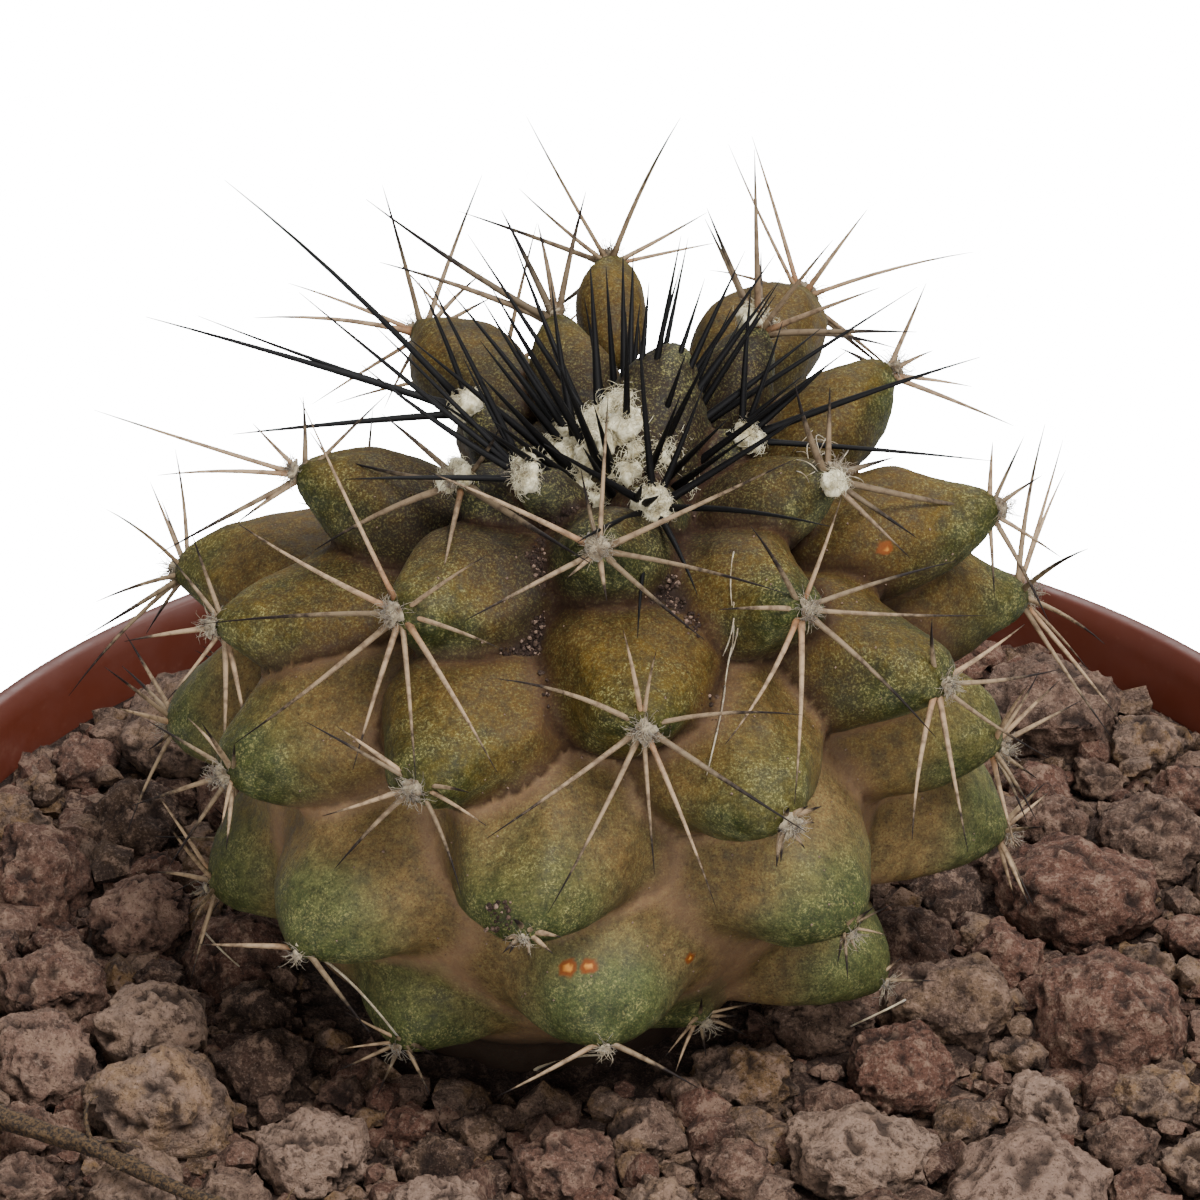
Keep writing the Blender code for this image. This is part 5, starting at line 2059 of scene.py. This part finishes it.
@dataclass
class Litter:
    """Crumbs caught in the creases, stray hairs, a thin web and loose root fibres."""

    view: PhotoView
    skin: BVHTree
    creases: np.ndarray
    ground: BVHTree
    crumbs: tuple = (
        ((500, 540), (545, 655), 900, 0.55), ((650, 575), (700, 640), 420, 0.55),
        ((486, 902), (512, 930), 60, 0.0), ((540, 480), (580, 525), 260, 0.5),
        ((400, 500), (430, 560), 220, 0.5), ((695, 540), (745, 590), 200, 0.5),
        ((700, 690), (790, 790), 160, 0.6), ((540, 640), (640, 720), 160, 0.6),
    )
    grains: int = 150
    dust_area: tuple = ((240, 420), (980, 1010))
    straw: tuple = (
        ((734, 552), (734, 606)), ((734, 602), (733, 648)), ((733, 644), (725, 690)),
        ((725, 686), (718, 732)), ((718, 728), (709, 776)), ((734, 618), (722, 654)),
        ((738, 628), (727, 664)),
    )
    curls: int = 16
    curl_area: tuple = ((790, 448), (845, 478))
    longest_fibre: float = 9.0 * MM
    loose: tuple = (
        ((292, 938), (205, 932)), ((205, 932), (240, 968)), ((296, 944), (400, 1036)),
        ((300, 948), (352, 1000)), ((400, 1036), (460, 1092)), ((350, 985), (440, 1085)),
        ((520, 1086), (600, 1052)), ((600, 1052), (682, 1092)), ((905, 1000), (850, 1030)),
    )

    def build_crumbs(self) -> Piece:
        """Scatters dark crumbs in the creases and pale grains over the skin.

        Returns:
            The finished piece, with the attribute stone.
        """
        draw = Random(77)
        canvas = Canvas("stone")
        layer = canvas.bm.verts.layers.float_color["stone"]
        spots = []
        for low, high, count, least in self.crumbs:
            for _ in range(count):
                pixel = pixel_between(draw, low, high)
                size = (0.035 + 0.10 * draw.random() ** 2) * MM
                spots.append((pixel, size, draw.random() < 0.16, least))
        for _ in range(self.grains):
            pixel = pixel_between(draw, *self.dust_area)
            spots.append((pixel, draw.uniform(0.03, 0.06) * MM, True, 0.0))
        for pixel, size, pale, least in spots:
            found, normal, face, _ = self.view.cast(self.skin, pixel)
            if found is None or self.creases[face] < least:
                continue
            place = found + normal * 0.25 * size
            made = bmesh.ops.create_icosphere(canvas.bm, subdivisions=1, radius=size)
            shade = (draw.random(), 0.95 if pale else 0.05, 0.0 if pale else 0.5, 1.0)
            for vert in made["verts"]:
                vert.co *= draw.uniform(0.5, 1.3)
                vert.co += place
                vert[layer] = shade
        return canvas.lift_off("skin_crumbs")

    def build_fibres(self) -> Piece:
        """Lays the web, the curly hairs beside the crown and the loose fibres at the foot.

        Returns:
            The finished piece.
        """
        draw = Random(31)
        brush = StrandBrush(sides=4, rings=8, point=0.6)
        for start, end in self.straw:
            self.lay_between(brush, self.skin, start, end, 0.12 * MM, 0.034 * MM, draw, bow=0.04)
        for _ in range(self.curls):
            start = pixel_between(draw, *self.curl_area)
            end = (start[0] + draw.uniform(-40, 30), start[1] + draw.uniform(-22, 14))
            self.lay_between(brush, self.skin, start, end, 0.5 * MM, 0.022 * MM, draw)
        for start, end in self.loose:
            self.lay_between(brush, self.ground, start, end, 0.5 * MM, draw.uniform(0.05, 0.09) * MM, draw)
        return brush.lift_off("stray_fibres")

    def lay_between(
        self, brush: StrandBrush, tree: BVHTree, start: Pixel, end: Pixel, lift: float, radius: float,
        draw: Random, bow: float = 0.15,
    ) -> None:
        """Lays one fibre between the points behind two pixels.

        Args:
            brush: Takes the fibre.
            tree: The surface that it lies on.
            start: First pixel.
            end: Last pixel.
            lift: How far its middle stands off.
            radius: Its radius.
            draw: Source of the bend.
            bow: How far it bends aside, as a share of its length.
        """
        root = self.view.hit(tree, start, 0.02 * MM)
        tip = self.view.hit(tree, end, 0.15 * MM)
        if FAR_AWAY in (root, tip) or (root - tip).length > self.longest_fibre:
            return
        ahead, right, up = self.view.axes()
        bend = (right * draw.uniform(-1, 1) + up * draw.uniform(0, 1)) * bow * (tip - root).length
        middle = (root + tip) / 2.0 + bend - ahead * lift
        brush.lay([root, middle, tip], radius, draw.random(), 1.0)


def main() -> None:
    """Builds every sub-assembly in order and reports each piece."""
    logging.basicConfig(level=logging.INFO, format="%(name)s %(relativeCreated)6.0f ms: %(message)s")
    cactus = surface_tree(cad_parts["cactus"])
    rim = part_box("pot")[1]
    growth = Growth(rim_z=rim[2])
    view = PhotoView(rim_z=growth.rim_z)
    Studio(view).build()

    skin = PlantSkin(growth, view).build()
    settle(skin, SkinFinish().material(), Slot.SKIN, "cactus")
    spines = SpineFinish().material()
    settle(SpineCoat(growth, view).build(), spines, Slot.SKIN, "cactus")
    settle(AreoleFelt(growth).build(), WoolFinish(Wool.GREY_FELT).material(), Slot.WOOL, "cactus")
    crown = CrownWool(growth, view)
    settle(crown.build_wool(), WoolFinish(Wool.CREAM_WOOL).material(), Slot.WOOL, "crown_wool")
    settle(crown.build_spines(), spines, Slot.WOOL, "crown_wool")

    grit = GritBed(growth, cactus)
    grit.settle_stones()
    lava = StoneFinish().material()
    stones = [grit.build_layer(*layer) for layer in grit.layers]
    for piece in stones:
        settle(piece, lava, Slot.GRIT, "gravel")
    chips = grit.build_chips()
    settle(chips, lava, Slot.GRIT, "gravel")
    chips.data.set_sharp_from_angle(angle=grit.sharp_angle)
    settle(grit.build_bed(), lava, Slot.GRIT, "gravel")

    pot = NurseryPot(height=rim[2], rim_radius=rim[0])
    settle(pot.build(), PlasticFinish().material(), Slot.POT, "pot")
    settle(DryTwig().build(), TwigFinish().material(), Slot.TWIG, "dry_twig")

    litter = Litter(view, surface_tree(skin), face_values(skin, "form"), surface_tree(skin, *stones))
    settle(litter.build_crumbs(), lava, Slot.GRIT)
    settle(litter.build_fibres(), WoolFinish(Wool.PALE_FIBRE).material(), Slot.WOOL)


if __name__ == "__main__":
    main()
